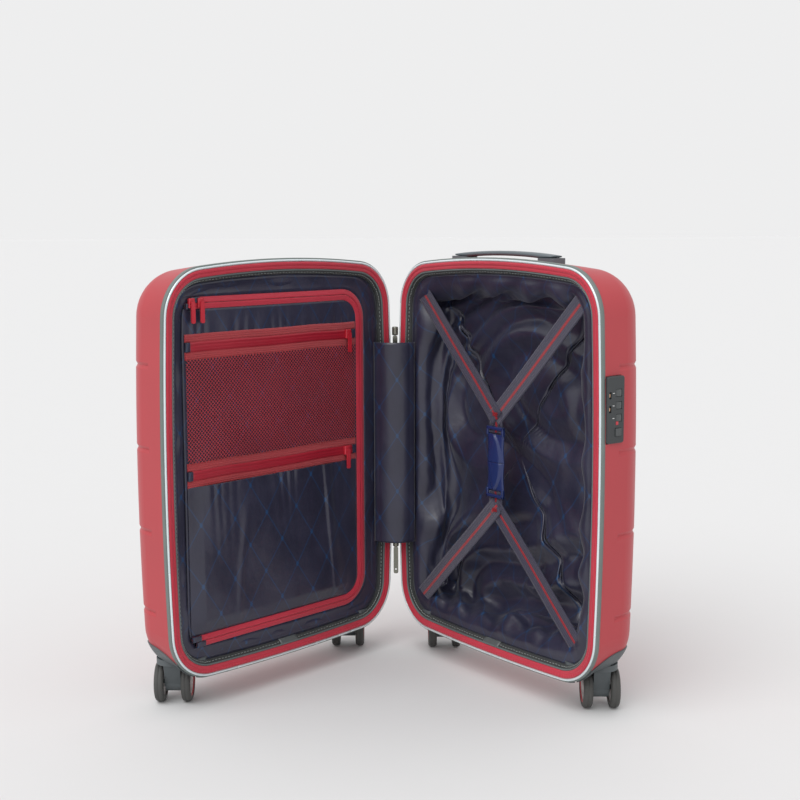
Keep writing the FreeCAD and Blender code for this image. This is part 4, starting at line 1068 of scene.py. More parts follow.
# ================================================================ linings
@dataclass
class Lining:
    """The loose satin lining of one half, sewn in behind the binding."""

    half: HalfFrame
    depth: float
    edge_inset: float = 0.0202
    edge_depth: float = 0.0100
    mouth_inset: float = 0.0290
    mouth_depth: float = 0.0116
    draft: float = DRAFT
    slack: float = 0.005
    fillet: float = 0.024
    wall_rows: int = 6
    turn_rows: int = 6
    floor_rows: int = 30
    step: float = 0.0065
    fold_height: float = 0.033
    cloth: float = 0.0008

    def rows(self) -> list[Pair]:
        """Place the rings down the walls and round the fillet.

        Returns:
            Inset and depth of each ring.
        """
        floor = self.depth - CLOTH_GAP - self.slack
        found = [(self.edge_inset, self.edge_depth), (self.mouth_inset - 0.003, self.mouth_depth - 0.0006)]
        for index in range(self.wall_rows):
            share = index / self.wall_rows
            depth = self.mouth_depth + (floor - self.fillet - self.mouth_depth) * share
            settled = self.slack * min(1.0, share * 3.0)
            found.append((self.mouth_inset + depth * self.draft + settled, depth))
        inset = found[-1][0] + 0.0008
        for index in range(self.turn_rows + 1):
            angle = math.pi / 2.0 * index / self.turn_rows
            found.append((inset + self.fillet * (1.0 - math.cos(angle)),
                          floor - self.fillet * (1.0 - math.sin(angle))))
        return found

    def build(self) -> Object:
        """Make the lining, wrinkle it and give it its thickness.

        Returns:
            The lining.
        """
        stations = RIM.stations(self.step)
        rows = self.rows()
        middle = RIM.middle
        rings = [[(*s.inset(inset), depth) for s in stations] for inset, depth in rows]
        last = rings[-1]
        for index in range(1, self.floor_rows):
            share = 1.0 - index / self.floor_rows
            rings.append([(middle[0] + (x - middle[0]) * share, middle[1] + (z - middle[1]) * share, depth)
                          for x, z, depth in last])
        count = len(stations)
        points = [self.half.place(x, depth, z) for ring in rings for x, z, depth in ring]
        flat = [self.unrolled(place) for ring in rings for place in ring]
        points.append(self.half.place(middle[0], last[0][2], middle[1]))
        flat.append(middle)
        faces = ring_faces(len(rings), count)
        base = (len(rings) - 1) * count
        faces += [(base + i, base + (i + 1) % count, len(points) - 1) for i in range(count)]
        piece = new_piece(f"{self.half.body}_lining_satin", points, faces,
                          [[flat[k] for k in f] for f in faces])
        self.wrinkle(piece, count, flat)
        thicken(piece, self.cloth, 1)
        dress(piece, SATIN, self.half.body, (f"{self.half.body}_lining",))
        f"{self.half.body}_binding_tape"
        return piece

    def unrolled(self, place: Colour) -> Pair:
        """Where a point of the lining lies on the flat cloth.

        Args:
            place: Its x, height and depth in the half's frame.

        Returns:
            Its place on the flat cloth in metres.
        """
        x, z, depth = place
        middle = RIM.middle
        dx, dz = x - middle[0], z - middle[1]
        far = math.hypot(dx, dz) or 1.0
        spare = max(0.0, self.depth - self.slack - CLOTH_GAP - depth)
        return (middle[0] + dx * (1.0 + spare / far), middle[1] + dz * (1.0 + spare / far))

    def fold(self, x: float, z: float) -> float:
        """Height of the loose cloth's folds at a place of the flat lining, from 0 to about 1.

        Args:
            x: Across the cloth.
            z: Up the cloth.

        Returns:
            The height, as a share of the fold's full height.
        """
        seed = 4.0 if self.half.side is Side.BASE else 11.0
        here = Vector((x, z, seed))
        drift = Vector((noise.noise(here * 7.0), noise.noise(here * 7.0 + Vector((9.0, 2.0, 5.0))), 0.0))
        turned = here + drift * 0.035
        lean = 0.5 + 0.9 * noise.noise(here * 3.0)
        along = turned.x * math.cos(lean) - turned.y * math.sin(lean)
        across = turned.x * math.sin(lean) + turned.y * math.cos(lean)
        swell = 0.5 + 0.5 * noise.noise(here * 9.0)
        broad_run = along * 11.0 + 1.4 * noise.noise(here * 6.0)
        fine_run = across * 19.0 + 1.8 * noise.noise(here * 11.0)
        broad = abs(broad_run % 1.0 - 0.5) * 2.0
        fine = abs(fine_run % 1.0 - 0.5) * 2.0
        return 0.68 * broad * (0.25 + 0.75 * swell) + 0.14 * fine * swell + 0.18 * swell

    def wrinkle(self, piece: Object, count: int, flat: Sequence[Pair]) -> None:
        """Raise the slack cloth in folds, less and less toward its sewn edge.

        Args:
            piece: The smooth lining.
            count: Vertices in each ring.
            flat: Where each vertex lies on the flat cloth.
        """
        mesh = piece.data
        centre = self.half.place(RIM.middle[0], self.depth * 0.45, RIM.middle[1])
        moved = []
        for index, vertex in enumerate(mesh.vertices):
            normal = vertex.normal.copy()
            if normal.dot(centre - vertex.co) < 0.0:
                normal.negate()
            row = index // count
            free = min(1.0, max(0.0, (row - 1.0) / 5.0))
            moved.append(vertex.co + normal * (self.fold_height * free * self.fold(*flat[index])))
        for vertex, place in zip(mesh.vertices, moved):
            vertex.co = place
        mesh.update()


# ================================================================ divider
@dataclass
class Divider:
    """The zipped divider in the lid: border, flap, pockets, net, zips and their end tabs."""

    half: HalfFrame = LID
    front: float = 0.009
    near: float = 0.053
    far: float = 0.359
    low: float = 0.077
    top: float = 0.503
    radius: float = 0.040
    zip_half: float = 0.007
    slit: float = 0.0004
    tooth: float = 0.0011
    upper: float = 0.444
    lower: float = 0.289
    band: float = 0.0155
    pocket_near: float = 0.0694
    pocket_far: float = 0.355
    clear_inset: float = 0.0316
    net_pitch: float = 0.0049
    thread: float = 0.00042
    thread_flat: float = 0.0003
    thread_step: float = 0.006
    cloth: float = 0.0008
    pocket_cloth: float = 0.0007
    border_step: float = 0.006
    border_wide: float = 0.0225
    tab_long: float = 0.013

    def build(self) -> None:
        """Make every piece of the divider."""
        self.build_border()
        self.build_flap()
        self.build_round_zip()
        self.build_pocket_zips()
        self.build_net()
        self.build_lower_pocket()

    def reach(self, height: float) -> float:
        """How far from the hinge the flap goes at a height."""
        return min(self.far, RIM.span(height, self.clear_inset)[1] - 0.0006)

    def near_edge(self, height: float, grow: float) -> float:
        """Find the near edge of the divider's rounded shape.

        Args:
            height: The height above the floor.
            grow: How far the shape is moved in.

        Returns:
            The x of its near edge.
        """
        near, radius = self.near + grow, self.radius - grow
        low, top = self.low + grow, self.top - grow
        over = max(height - (top - radius), (low + radius) - height, 0.0)
        return near + radius - math.sqrt(max(radius * radius - over * over, 0.0))

    def path(self, grow: float, step: float = 0.004) -> list[Station]:
        """Place stations along the C shaped zip.

        Args:
            grow: How far the path is moved in.
            step: The distance between two points, about.

        Returns:
            The stations, from the top's free end round to the bottom's.
        """
        near, radius = self.near + grow, self.radius - grow
        low, top = self.low + grow, self.top - grow
        found: list[Station] = []

        def add(x: float, z: float, out_x: float, out_z: float) -> None:
            """Add a station, its run measured from the last one."""
            run = found[-1].run + math.dist((x, z), (found[-1].x, found[-1].z)) if found else 0.0
            found.append(Station(x, z, out_x, out_z, run))

        straight = max(2, round((self.reach(top) - near - radius) / step))
        for k in range(straight):
            add(self.reach(top) - (self.reach(top) - near - radius) * k / straight, top, 0.0, 1.0)
        turn = max(6, round(radius * 1.57 / step))
        for k in range(turn):
            angle = math.pi / 2.0 * (1.0 + k / turn)
            add(near + radius + radius * math.cos(angle), top - radius + radius * math.sin(angle),
                math.cos(angle), math.sin(angle))
        side = max(2, round((top - low - 2.0 * radius) / step))
        for k in range(side):
            add(near, top - radius - (top - low - 2.0 * radius) * k / side, -1.0, 0.0)
        for k in range(turn):
            angle = math.pi * (1.0 + 0.5 * k / turn)
            add(near + radius + radius * math.cos(angle), low + radius + radius * math.sin(angle),
                math.cos(angle), math.sin(angle))
        bottom = max(2, round((self.reach(low) - near - radius) / step))
        for k in range(bottom + 1):
            add(near + radius + (self.reach(low) - near - radius) * k / bottom, low, 0.0, -1.0)
        return found

    def build_border(self) -> None:
        """The cloth frame round the flap."""
        outer = [s.inset(BINDING_INSET) for s in RIM.stations(self.border_step)]
        middle = RIM.middle
        rows = 5
        rings: list[list[Pair]] = [[] for _ in range(rows + 1)]
        for x, z in outer:
            inner = self.opening_point(math.atan2(z - middle[1], x - middle[0]))
            reach_out = math.dist((x, z), middle)
            share_in = min(math.dist(inner, middle) / reach_out, 1.0 - 0.0006 / reach_out)
            for row in range(rows + 1):
                share = share_in + (1.0 - share_in) * row / rows
                rings[row].append((middle[0] + (x - middle[0]) * share, middle[1] + (z - middle[1]) * share))
        count = len(outer)
        flat = [p for ring in rings for p in ring]
        points = []
        for row, ring in enumerate(rings):
            for x, z in ring:
                ripple = 1.0 + noise.noise(Vector((x, z, 0.0)) * 30.0)
                sink = 0.0012 * math.sin(math.pi * row / rows) * ripple
                under = 0.0016 if x > self.far - 0.004 and row < 2 else 0.0
                points.append(self.half.place(x, self.front + 0.0006 + sink + under, z))
        faces = ring_faces(rows + 1, count)
        piece = new_piece("divider_border_cloth", points, faces, [[flat[k] for k in f] for f in faces])
        thicken(piece, self.cloth)
        dress(piece, SATIN, "lid", ("divider_border",))

    def opening_point(self, angle: float) -> Pair:
        """Find where a ray from the rim's centre leaves the flap's opening.

        Args:
            angle: The ray's angle from the x axis.

        Returns:
            The point's x and z.
        """
        middle = RIM.middle
        near, far = self.near + 0.0002, self.far - 0.0030
        dx, dz = math.cos(angle), math.sin(angle)
        reach = min([(edge - middle[0]) / dx for edge in (near, far) if abs(dx) > 1e-9 and
                     (edge - middle[0]) / dx > 0] +
                    [(edge - middle[1]) / dz for edge in (self.low, self.top) if abs(dz) > 1e-9 and
                     (edge - middle[1]) / dz > 0])
        x, z = middle[0] + dx * reach, middle[1] + dz * reach
        if x < self.near + self.radius and not self.low + self.radius < z < self.top - self.radius:
            centre_z = self.top - self.radius if z > middle[1] else self.low + self.radius
            ox, oz = middle[0] - self.near - self.radius, middle[1] - centre_z
            b = ox * dx + oz * dz
            c = ox * ox + oz * oz - self.radius * self.radius
            root = -b + math.sqrt(max(b * b - c, 0.0))
            x, z = middle[0] + dx * root, middle[1] + dz * root
        return (x, z)

    def build_flap(self) -> None:
        """The flap's cloth, gathered a little under the top of its zip."""
        grow = 2.0 * self.zip_half + self.slit - 0.001
        low, top = self.low + grow, self.top - grow

        def place(u: float, v: float) -> tuple[float, float]:
            """Find a place of the flap.

            Args:
                u: Share of the width.
                v: Share of the height.

            Returns:
                Its x and z.
            """
            z = low + (top - low) * v
            x = self.near_edge(z, grow)
            return (x + (self.reach(z) - 0.0008 - x) * u, z)

        def where(u: float, v: float) -> Vector:
            """Find a point of the gathered flap.

            Args:
                u: Share of the width.
                v: Share of the height.

            Returns:
                The point in the row frame.
            """
            x, z = place(u, v)
            edge = min(u, 1.0 - u, 1.0 - v) * 12.0
            gather = math.sin(x * 330.0 + 5.0 * noise.noise(Vector((x * 30.0, z * 9.0, 1.0))))
            upper = max(0.0, (z - self.upper) / (top - self.upper))
            bulge = 0.0008 * gather * upper * (1.0 - upper) * 4.0 * min(1.0, max(edge, 0.0))
            return self.half.place(x, self.front + 0.0007 - bulge, z)

        piece = grid("divider_flap_cloth", 150, 90, where, place)
        thicken(piece, self.cloth)
        dress(piece, SATIN, "divider", ("divider_panel",))

    def build_round_zip(self) -> None:
        """Both halves of the C shaped zip with the coil between them, and its end tabs."""
        tape = ((0.0001, 0.0102), (0.0001, 0.0091), (0.0008, 0.0086), (0.0040, 0.0084), (0.0052, 0.0080),
                (0.0066, 0.0078), (0.0070, 0.0084), (0.0070, 0.0102))

        def teeth(i: int, j: int, pair: Pair) -> Pair:
            """Lower every second station of the coil's half."""
            return (pair[0], pair[1] + (0.00022 if j in (5, 6) and i % 2 else 0.0))

        outer = swept("divider_zip_border_tape", self.path(0.0, self.tooth), tape, self.half,
                      closed=False, shape=teeth)
        dress(outer, ZIP_TAPE, "lid")
        mirrored = tuple((self.zip_half - inset, depth) for inset, depth in tape)
        inner = swept("divider_zip_tape", self.path(self.zip_half + self.slit, self.tooth), mirrored, self.half,
                      closed=False, shape=teeth)
        dress(inner, ZIP_TAPE, "divider", ("divider_zip",))
        for name, height in (("top", self.top), ("bottom", self.low)):
            inward = -1.0 if name == "top" else 1.0
            second = self.zip_half + self.slit
            for body, first, last in (("lid", 0.0, self.zip_half),
                                      ("divider", second, 2.0 * self.zip_half + self.slit)):
                edge = self.reach(height + inward * first)
                zs = sorted((height + inward * (first + 0.0001), height + inward * (last - 0.0001)))
                part = rounded_block((edge - self.tab_long, self.front - 0.0022, zs[0]),
                                     (edge + 0.0004, self.front + 0.0004, zs[1]), 0.0005, self.half)
                dress(join_parts(f"zip_end_tab_{name}_{body}", [part]), SATIN, body)

    def build_pocket_zips(self) -> None:
        """The two pocket zips: ribbed tapes above and below a smooth cover over the coil."""
        for name, height, stands_for in (("upper", self.upper, ("pocket_zips",)), ("lower", self.lower, ())):
            end = min(self.pocket_far, self.reach(height) - 0.002)
            steps = 120
            line = [Station(self.pocket_near + (end - self.pocket_near) * k / steps, height, 0.0, 1.0,
                            (end - self.pocket_near) * k / steps) for k in range(steps + 1)]
            for part, low, high, finish in (("top_tape", -0.0155, -0.0058, POCKET_TAPE),
                                            ("bottom_tape", 0.0058, 0.0155, POCKET_TAPE),
                                            ("cover", -0.0064, 0.0064, POCKET_COIL)):
                proud = 0.0016 if part == "cover" else 0.0010
                profile = self.strip_profile(low, high, proud)
                own = line[3:-3] if part == "cover" else line

                def sag(i: int, j: int, pair: Pair) -> Pair:
                    """Let the strip wander a little from its line."""
                    drop = 0.0009 * noise.noise(Vector((i * 0.05, height * 40.0, 2.0)))
                    return (pair[0] + drop, pair[1])

                piece = swept(f"pocket_zip_{name}_{part}", own, profile, self.half, closed=False, shape=sag)
                dress(piece, finish, "divider", stands_for if part == "cover" else ())
            tabs = [(self.pocket_near + 0.0004, self.pocket_near + 0.0075), (end - 0.0075, end - 0.0004)]
            parts = [rounded_block((a, self.front - 0.0024, height - 0.0056),
                                   (b, self.front - 0.0008, height + 0.0056), 0.0005, self.half)
                     for a, b in tabs]
            dress(join_parts(f"pocket_zip_{name}_end_tabs", parts), SATIN, "divider")

    def strip_profile(self, low: float, high: float, proud: float) -> list[Pair]:
        """Draw a flat strip: a soft crown between two edges, with two sewn grooves.

        Args:
            low: Its lower edge, from the zip's line.
            high: Its upper edge.
            proud: The crown's height.

        Returns:
            The closed profile.
        """
        count = 14
        found = []
        for k in range(count + 1):
            share = k / count
            crown = proud * min(1.0, 6.0 * share, 6.0 * (1.0 - share))
            groove = 0.0004 if k in (5, 9) else 0.0
            found.append((low + (high - low) * share, self.front - 0.0002 - crown + groove))
        return [*found, (high, self.front + 0.0002), (low, self.front + 0.0002)]

    def net_depth(self, x: float, z: float) -> float:
        """Find the net's depth, which bellies forward between the two pocket zips.

        Args:
            x: Distance from the hinge axis.
            z: Height above the floor.

        Returns:
            The depth.
        """
        u = (x - self.pocket_near) / (self.pocket_far - self.pocket_near)
        v = (z - self.lower - self.band) / (self.upper - self.lower - 2.0 * self.band)
        belly = math.sin(math.pi * min(max(u, 0.0), 1.0)) * math.sin(math.pi * min(max(v, 0.0), 1.0))
        wave = 0.5 + 0.5 * noise.noise(Vector((x * 24.0, z * 8.0, 5.0)))
        return self.front - 0.0014 - belly * (0.0012 + 0.0022 * wave)

    def build_net(self) -> None:
        """The pocket's net: two slanted families of threads."""
        low, top = self.lower + self.band - 0.001, self.upper - self.band + 0.001
        near, far = self.pocket_near + 0.0006, self.pocket_far - 0.0006
        points: list[Vector] = []
        faces: list[tuple[int, ...]] = []
        tall = top - low
        lines = int((far - near + tall) / self.net_pitch)
        for slant in (1.0, -1.0):
            for index in range(1, lines):
                start = near - tall + index * self.net_pitch if slant > 0 else near + index * self.net_pitch
                low_t = max(0.0, near - start if slant > 0 else start - far)
                high_t = min(tall, far - start if slant > 0 else start - near)
                if high_t - low_t < 0.002:
                    continue
                steps = max(1, round((high_t - low_t) / self.thread_step))
                first = len(points)
                for k in range(steps + 1):
                    t = low_t + (high_t - low_t) * k / steps
                    x, z = start + slant * t, low + t
                    depth = self.net_depth(x, z) - (0.00016 if slant > 0 else 0.0)
                    ox, oz = self.thread * 0.7071, -self.thread * 0.7071 * slant
                    for sx, sd in ((-1, 0.0), (0, -self.thread_flat), (1, 0.0), (0, self.thread_flat)):
                        points.append(self.half.place(x + sx * ox, depth + sd, z + sx * oz))
                for k in range(steps):
                    for c in range(4):
                        d = (c + 1) % 4
                        faces.append((first + 4 * k + c, first + 4 * k + d, first + 4 * k + 4 + d,
                                      first + 4 * k + 4 + c))
                faces.append((first, first + 1, first + 2, first + 3))
                faces.append(tuple(first + 4 * steps + c for c in range(4)))
        uvs = [[(points[k].x + points[k].y, points[k].z) for k in f] for f in faces]
        piece = new_piece("pocket_net", points, faces, uvs)
        dress(piece, NET, "divider", ("pocket_mesh",))

    def build_lower_pocket(self) -> None:
        """The lower pocket's cloth, gathered along its top and folded in one long pleat."""
        low, top = self.low + 0.016, self.lower - self.band + 0.002
        near_x, far_x = self.pocket_near, self.pocket_far
        pleat_top, pleat_low = 0.130, 0.114

        def place(u: float, v: float) -> tuple[float, float]:
            """Find a place of the pocket.

            Args:
                u: Share of the width.
                v: Share of the height.

            Returns:
                Its x and z.
            """
            z = low + (top - low) * v
            left = max(near_x, self.near_edge(z, 0.0165))
            right = min(far_x, self.reach(z) - 0.003)
            return (left + (right - left) * u, z)

        def where(u: float, v: float) -> Vector:
            """Find a point of the gathered and pleated pocket.

            Args:
                u: Share of the width.
                v: Share of the height.

            Returns:
                The point in the row frame.
            """
            x, z = place(u, v)
            edge = min(1.0, min(u, 1.0 - u) * 14.0) * min(1.0, v * 12.0)
            fall = v ** 5
            gather = math.sin(x * 260.0 + 9.0 * noise.noise(Vector((x * 20.0, z * 5.0, 2.0))))
            broad = noise.noise(Vector(((x - 0.25 * z) * 13.0, (z + 0.4 * x) * 6.0, 9.0)))
            pleat_x = pleat_low + (pleat_top - pleat_low) * v
            away = (x - pleat_x) / 0.012
            pleat = math.exp(-away * away) if away < 0.0 else math.exp(-(away * 4.0) ** 2)
            fold = math.exp(-(((x - 0.262) - 0.02 * (1.0 - v)) / 0.006) ** 2) * (1.0 - fall)
            proud = 0.0012 + 0.0013 * gather * fall + 0.0058 * (0.45 + broad) + 0.0032 * pleat + 0.0018 * fold
            most = 0.0072 - 0.0028 * min(1.0, max(0.0, (v - 0.72) / 0.12))
            held = most * math.tanh(max(proud, 0.0) / most)
            return self.half.place(x, self.front - 0.0006 - held * edge, z)

        piece = grid("lower_pocket_cloth", 200, 90, where, place)
        thicken(piece, self.pocket_cloth)
        dress(piece, SATIN, "divider")


# ================================================================ hinge cloths
@dataclass
class HingeCloths:
    """The gusset and the tape that join the two halves at the hinge."""

    gusset_low: float = 0.156
    gusset_top: float = 0.430
    gusset_bulge: float = 0.013
    edge: float = 0.0355
    tape_low: float = 0.160
    tape_top: float = 0.396
    gusset_cloth: float = 0.0010
    tape_thick: float = 0.0005

    def build(self) -> None:
        """Make the gusset and the tape."""
        self.build_gusset()
        self.build_tape()

    def build_gusset(self) -> None:
        """The convex navy gusset, with a stitched hem down each side."""
        start, end = BASE.place(self.edge, 0.006, 0.0), LID.place(self.edge, 0.006, 0.0)
        width = (end - start).length

        def where(u: float, v: float) -> Vector:
            """Find a point of the bulged gusset.

            Args:
                u: Share of the way from base to lid.
                v: Share of the height.

            Returns:
                The point in the row frame.
            """
            z = self.gusset_low + (self.gusset_top - self.gusset_low) * v
            crown = math.sin(math.pi * u) ** 0.8
            ripple = 0.0012 * noise.noise(Vector((u * 3.0, z * 14.0, 4.0)))
            hem = 0.0007 * math.exp(-((u - 0.12) / 0.02) ** 2) + 0.0007 * math.exp(-((u - 0.88) / 0.02) ** 2)
            place = start.lerp(end, u)
            return Vector((place.x, place.y - crown * (self.gusset_bulge + ripple) + hem, z))

        tall = self.gusset_top - self.gusset_low
        piece = grid("hinge_gusset_cloth", 36, 80, where,
                     lambda u, v: (u * width * 1.1, self.gusset_low + tall * v))
        thicken(piece, self.gusset_cloth)
        dress(piece, SATIN, None, ("hinge_gusset",))
        tuple(start)
        tuple(end)
        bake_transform(piece)

    def build_tape(self) -> None:
        """The woven tape behind the hinge axis."""
        start, end = BASE.place(0.0032, 0.0026, 0.0), LID.place(0.0032, 0.0026, 0.0)
        width = (end - start).length

        def where(u: float, v: float) -> Vector:
            """Find a point of the tape.

            Args:
                u: Share of the way from base to lid.
                v: Share of the height.

            Returns:
                The point in the row frame.
            """
            z = self.tape_low + (self.tape_top - self.tape_low) * v
            place = start.lerp(end, u)
            return Vector((place.x, place.y + 0.0019 * math.sin(math.pi * u), z))

        piece = grid("hinge_tape_woven", 10, 60, where,
                     lambda u, v: ((self.tape_top - self.tape_low) * v, u * width))
        thicken(piece, self.tape_thick)
        dress(piece, ZIP_TAPE, None, ("hinge_tape",))
        tuple(start)
        tuple(end)
        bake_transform(piece)


# ================================================================ straps and buckle
@dataclass
class Straps:
    """The two V shaped straps and the buckle that joins them."""

    half: HalfFrame = BASE
    width: float = 0.024
    thick: float = 0.0014
    depth: float = 0.0108
    anchor_in: float = 0.043
    anchor_up: float = 0.046
    centre: float = 0.288
    length: float = 0.091
    plate_wide: float = 0.032
    plate_near: float = 0.0073
    plate_far: float = 0.0143
    leaf_half: float = 0.0125
    slot: float = 0.0055
    end_bar: float = 0.0042
    tuck: float = 0.0180
    beyond: float = 0.032
    tack_up: float = 0.016
    tack_pitch: float = 0.0013
    tack_radius: float = 0.0004
    turned_end: float = 0.012

    def build(self) -> None:
        """Make both straps and both buckle halves."""
        top, bottom = self.centre + self.length / 2.0, self.centre - self.length / 2.0
        upper = self.build_strap("strap_upper_webbing", RIM.top - self.anchor_up, top)
        dress(upper, WEBBING, "base", ("strap_upper",))
        lower = self.build_strap("strap_lower_webbing", RIM.lift + self.anchor_up, bottom)
        dress(lower, WEBBING, None, ("strap_lower",))
        low_anchor = RIM.lift + self.anchor_up
        x = RIM.middle[0]
        tuple(self.half.place(x, self.depth, low_anchor))
        tuple(self.half.place(x, self.depth, bottom - 0.004))
        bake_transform(lower)
        self.build_tacks("strap_upper_tacks", top + self.tack_up, "base")
        self.build_tacks("strap_lower_tacks", bottom - self.tack_up, "buckle_tongue")
        self.build_half("buckle_socket_half", self.centre + 0.0002, top, "base", "buckle_socket")
        self.build_half("buckle_tongue_half", self.centre - 0.0002, bottom, "buckle_tongue", "buckle_tongue")

    def build_strap(self, name: str, anchor: float, end: float) -> Object:
        """One V of webbing: two legs laid one over the other, and the tab through the buckle's slot.

        Args:
            name: The piece's name.
            anchor: Height of the two anchors.
            end: Height of the buckle's end.

        Returns:
            The webbing as one piece.
        """
        middle = RIM.middle[0]
        away = 1.0 if anchor > end else -1.0
        points: list[Vector] = []
        faces: list[tuple[int, ...]] = []
        pairs: list[Pair] = []
        outward = self.anchor_in - self.beyond
        higher = anchor + away * self.beyond
        runs = [((RIM.hinge_gap + outward, higher), (middle + 0.003, end + away * 0.010), 0.0, True),
                ((RIM.far - outward, higher), (middle - 0.003, end + away * 0.010), 0.0016, True),
                ((middle, end + away * 0.016), (middle, end - away * 0.0075), 0.0008, False)]
        rows, columns = 60, 10
        for (x0, z0), (x1, z1), layer, tucked in runs:
            long = math.hypot(x1 - x0, z1 - z0)
            ux, uz = (x1 - x0) / long, (z1 - z0) / long
            first = len(points)
            for row in range(rows + 1):
                share = row / rows
                sag = 0.0016 * math.sin(math.pi * share) + 0.0006 * math.sin(share * 9.0 + layer * 900.0)
                for column in range(columns + 1):
                    across = (column / columns - 0.5) * self.width
                    curl = 0.0009 * (2.0 * column / columns - 1.0) ** 2
                    x = x0 + ux * long * share - uz * across
                    z = z0 + uz * long * share + ux * across
                    if tucked and row < rows // 4:
                        x, z = RIM.hold(x, z, self.tuck)
                    depth = self.depth + layer + sag * (1.0 - layer * 300.0) - curl
                    points.append(self.half.place(x, depth, z))
                    pairs.append((long * share, across))
            faces += sheet_faces(rows, columns, first)
        piece = new_piece(name, points, faces, [[pairs[k] for k in f] for f in faces])
        return thicken(piece, self.thick)

    def build_tacks(self, name: str, height: float, body: str) -> None:
        """Make the bar of close stitches where the two legs are sewn together.

        Args:
            name: The piece's name.
            height: The height of its middle.
            body: The CAD body it rides on.
        """
        parts = []
        for index in range(7):
            x = RIM.middle[0] + (index - 3) * self.tack_pitch
            for shift in (-0.0012, 0.0012):
                start = self.half.place(x - 0.0009, self.depth - 0.0012, height + shift - 0.0011)
                end = self.half.place(x + 0.0009, self.depth - 0.0012, height + shift + 0.0011)
                parts.append(rod_between(start, end, self.tack_radius, sides=6))
        dress(join_parts(name, parts), TACK, body)

    def build_half(self, name: str, split: float, end: float, body: str, node: str) -> None:
        """One half of the buckle: a leaf shaped dome on a plate, and the bars round its webbing slot.

        Args:
            name: The piece's name.
            split: Height where the two halves meet.
            end: Height of this half's end.
            body: The CAD body it rides on.
            node: The CAD node that it replaces.
        """
        away = 1.0 if end > split else -1.0
        middle = RIM.middle[0]
        plate_end = end - away * (self.slot + self.end_bar)
        long = abs(plate_end - split)
        columns, rows = 28, 34
        points: list[Vector] = []
        for side in (0, 1):
            for row in range(rows + 1):
                share = row / rows
                waist = 1.0 - 0.10 * math.sin(math.pi * share)
                half_wide = self.plate_wide / 2.0 * waist
                for column in range(columns + 1):
                    t = 2.0 * column / columns - 1.0
                    x = middle + half_wide * t
                    z = split + away * long * share
                    leaf = self.leaf_half * math.cos(math.pi / 2.0 * min(1.0, share / 0.96)) ** 0.62
                    inside = 1.0 - min(1.0, abs(half_wide * t) / max(leaf, 1e-6))
                    lip = math.exp(-((inside - 0.10) / 0.07) ** 2) if 0.04 < share < 0.96 else 0.0
                    rise = 0.0022 * min(1.0, inside * 4.0) + 0.0007 * inside + 0.0009 * lip
                    edge = 0.0014 * abs(t) ** 6
                    front = self.plate_near + 0.0024 - rise + edge
                    back = self.plate_far - 0.0020 - 0.0010 * (1.0 - abs(t) ** 4)
                    depth = back if side else max(front, self.plate_near - 0.0008)
                    points.append(self.half.place(x, depth, z))
        per_side = (rows + 1) * (columns + 1)
        faces = sheet_faces(rows, columns) + sheet_faces(rows, columns, per_side)
        rim = list(range(columns + 1))
        rim += [r * (columns + 1) + columns for r in range(1, rows + 1)]
        rim += [rows * (columns + 1) + c for c in range(columns - 1, -1, -1)]
        rim += [r * (columns + 1) for r in range(rows - 1, 0, -1)]
        for a, b in zip(rim, rim[1:] + rim[:1]):
            faces.append((a, b, per_side + b, per_side + a))
        half_wide = self.plate_wide / 2.0
        zs = sorted((plate_end - away * 0.002, end))
        bars = [((middle - half_wide, zs[0]), (middle - half_wide + 0.0036, zs[1])),
                ((middle + half_wide - 0.0036, zs[0]), (middle + half_wide, zs[1]))]
        ends = sorted((end - away * self.end_bar, end))
        bars.append(((middle - half_wide, ends[0]), (middle + half_wide, ends[1])))
        parts = [(points, faces)]
        for low, high in bars:
            parts.append(rounded_block((low[0], self.plate_near + 0.0012, low[1]),
                                       (high[0], self.plate_far - 0.0012, high[1]), 0.0012, self.half))
        dress(join_parts(name, parts), BUCKLE, body, (node,))


# ================================================================ carry handle and lock
@dataclass
class CarryHandle:
    """The soft arch of the carry handle with a post into each anchor; tip is its thickness at the ends."""

    half: HalfFrame = BASE
    span: float = 0.164
    depth: float = 0.027
    width: float = 0.020
    low: float = 0.5467
    rise: float = 0.0072
    thick: float = 0.0060
    tip: float = 0.0024
    overhang: float = 0.011
    post: float = 0.003

    def build(self) -> None:
        """Make the arch and its posts."""
        middle = RIM.middle[0]
        reach = self.span / 2.0 + self.overhang
        rows, around = 90, 20
        points: list[Vector] = []
        for row in range(rows + 1):
            share = 2.0 * row / rows - 1.0
            crown = 1.0 - share * share
            end = max(0.0, (abs(share) - 0.955) / 0.045)
            taper = math.sqrt(max(1.0 - end * end, 0.04))
            thick = (self.tip + (self.thick - self.tip) * min(1.0, crown * 2.2)) * taper
            top = self.low + self.tip + (self.rise - self.tip) * crown ** 0.85
            wide = self.width / 2.0 * (1.0 - 0.10 * crown) * (1.0 - 0.35 * end * end)
            for step in range(around):
                angle = 2.0 * math.pi * step / around
                c, s = math.cos(angle), math.sin(angle)
                across = math.copysign(abs(c) ** 0.6, c) * wide
                up = math.copysign(abs(s) ** 0.75, s) * thick / 2.0
                points.append(self.half.place(middle + share * reach, self.depth + across,
                                              top - thick / 2.0 + up))
        faces = [tuple(range(around)), tuple(rows * around + k for k in range(around))]
        faces += ring_faces(rows + 1, around)
        parts = [(points, faces)]
        for side in (-1.0, 1.0):
            x = middle + side * self.span / 2.0
            parts.append(rod_between(self.half.place(x, self.depth, self.low - 0.0125),
                                     self.half.place(x, self.depth, self.low + 0.0012), self.post, sides=16))
        dress(join_parts("carry_handle_grip", parts), GRIP, "carry_handle", ("carry_handle",))


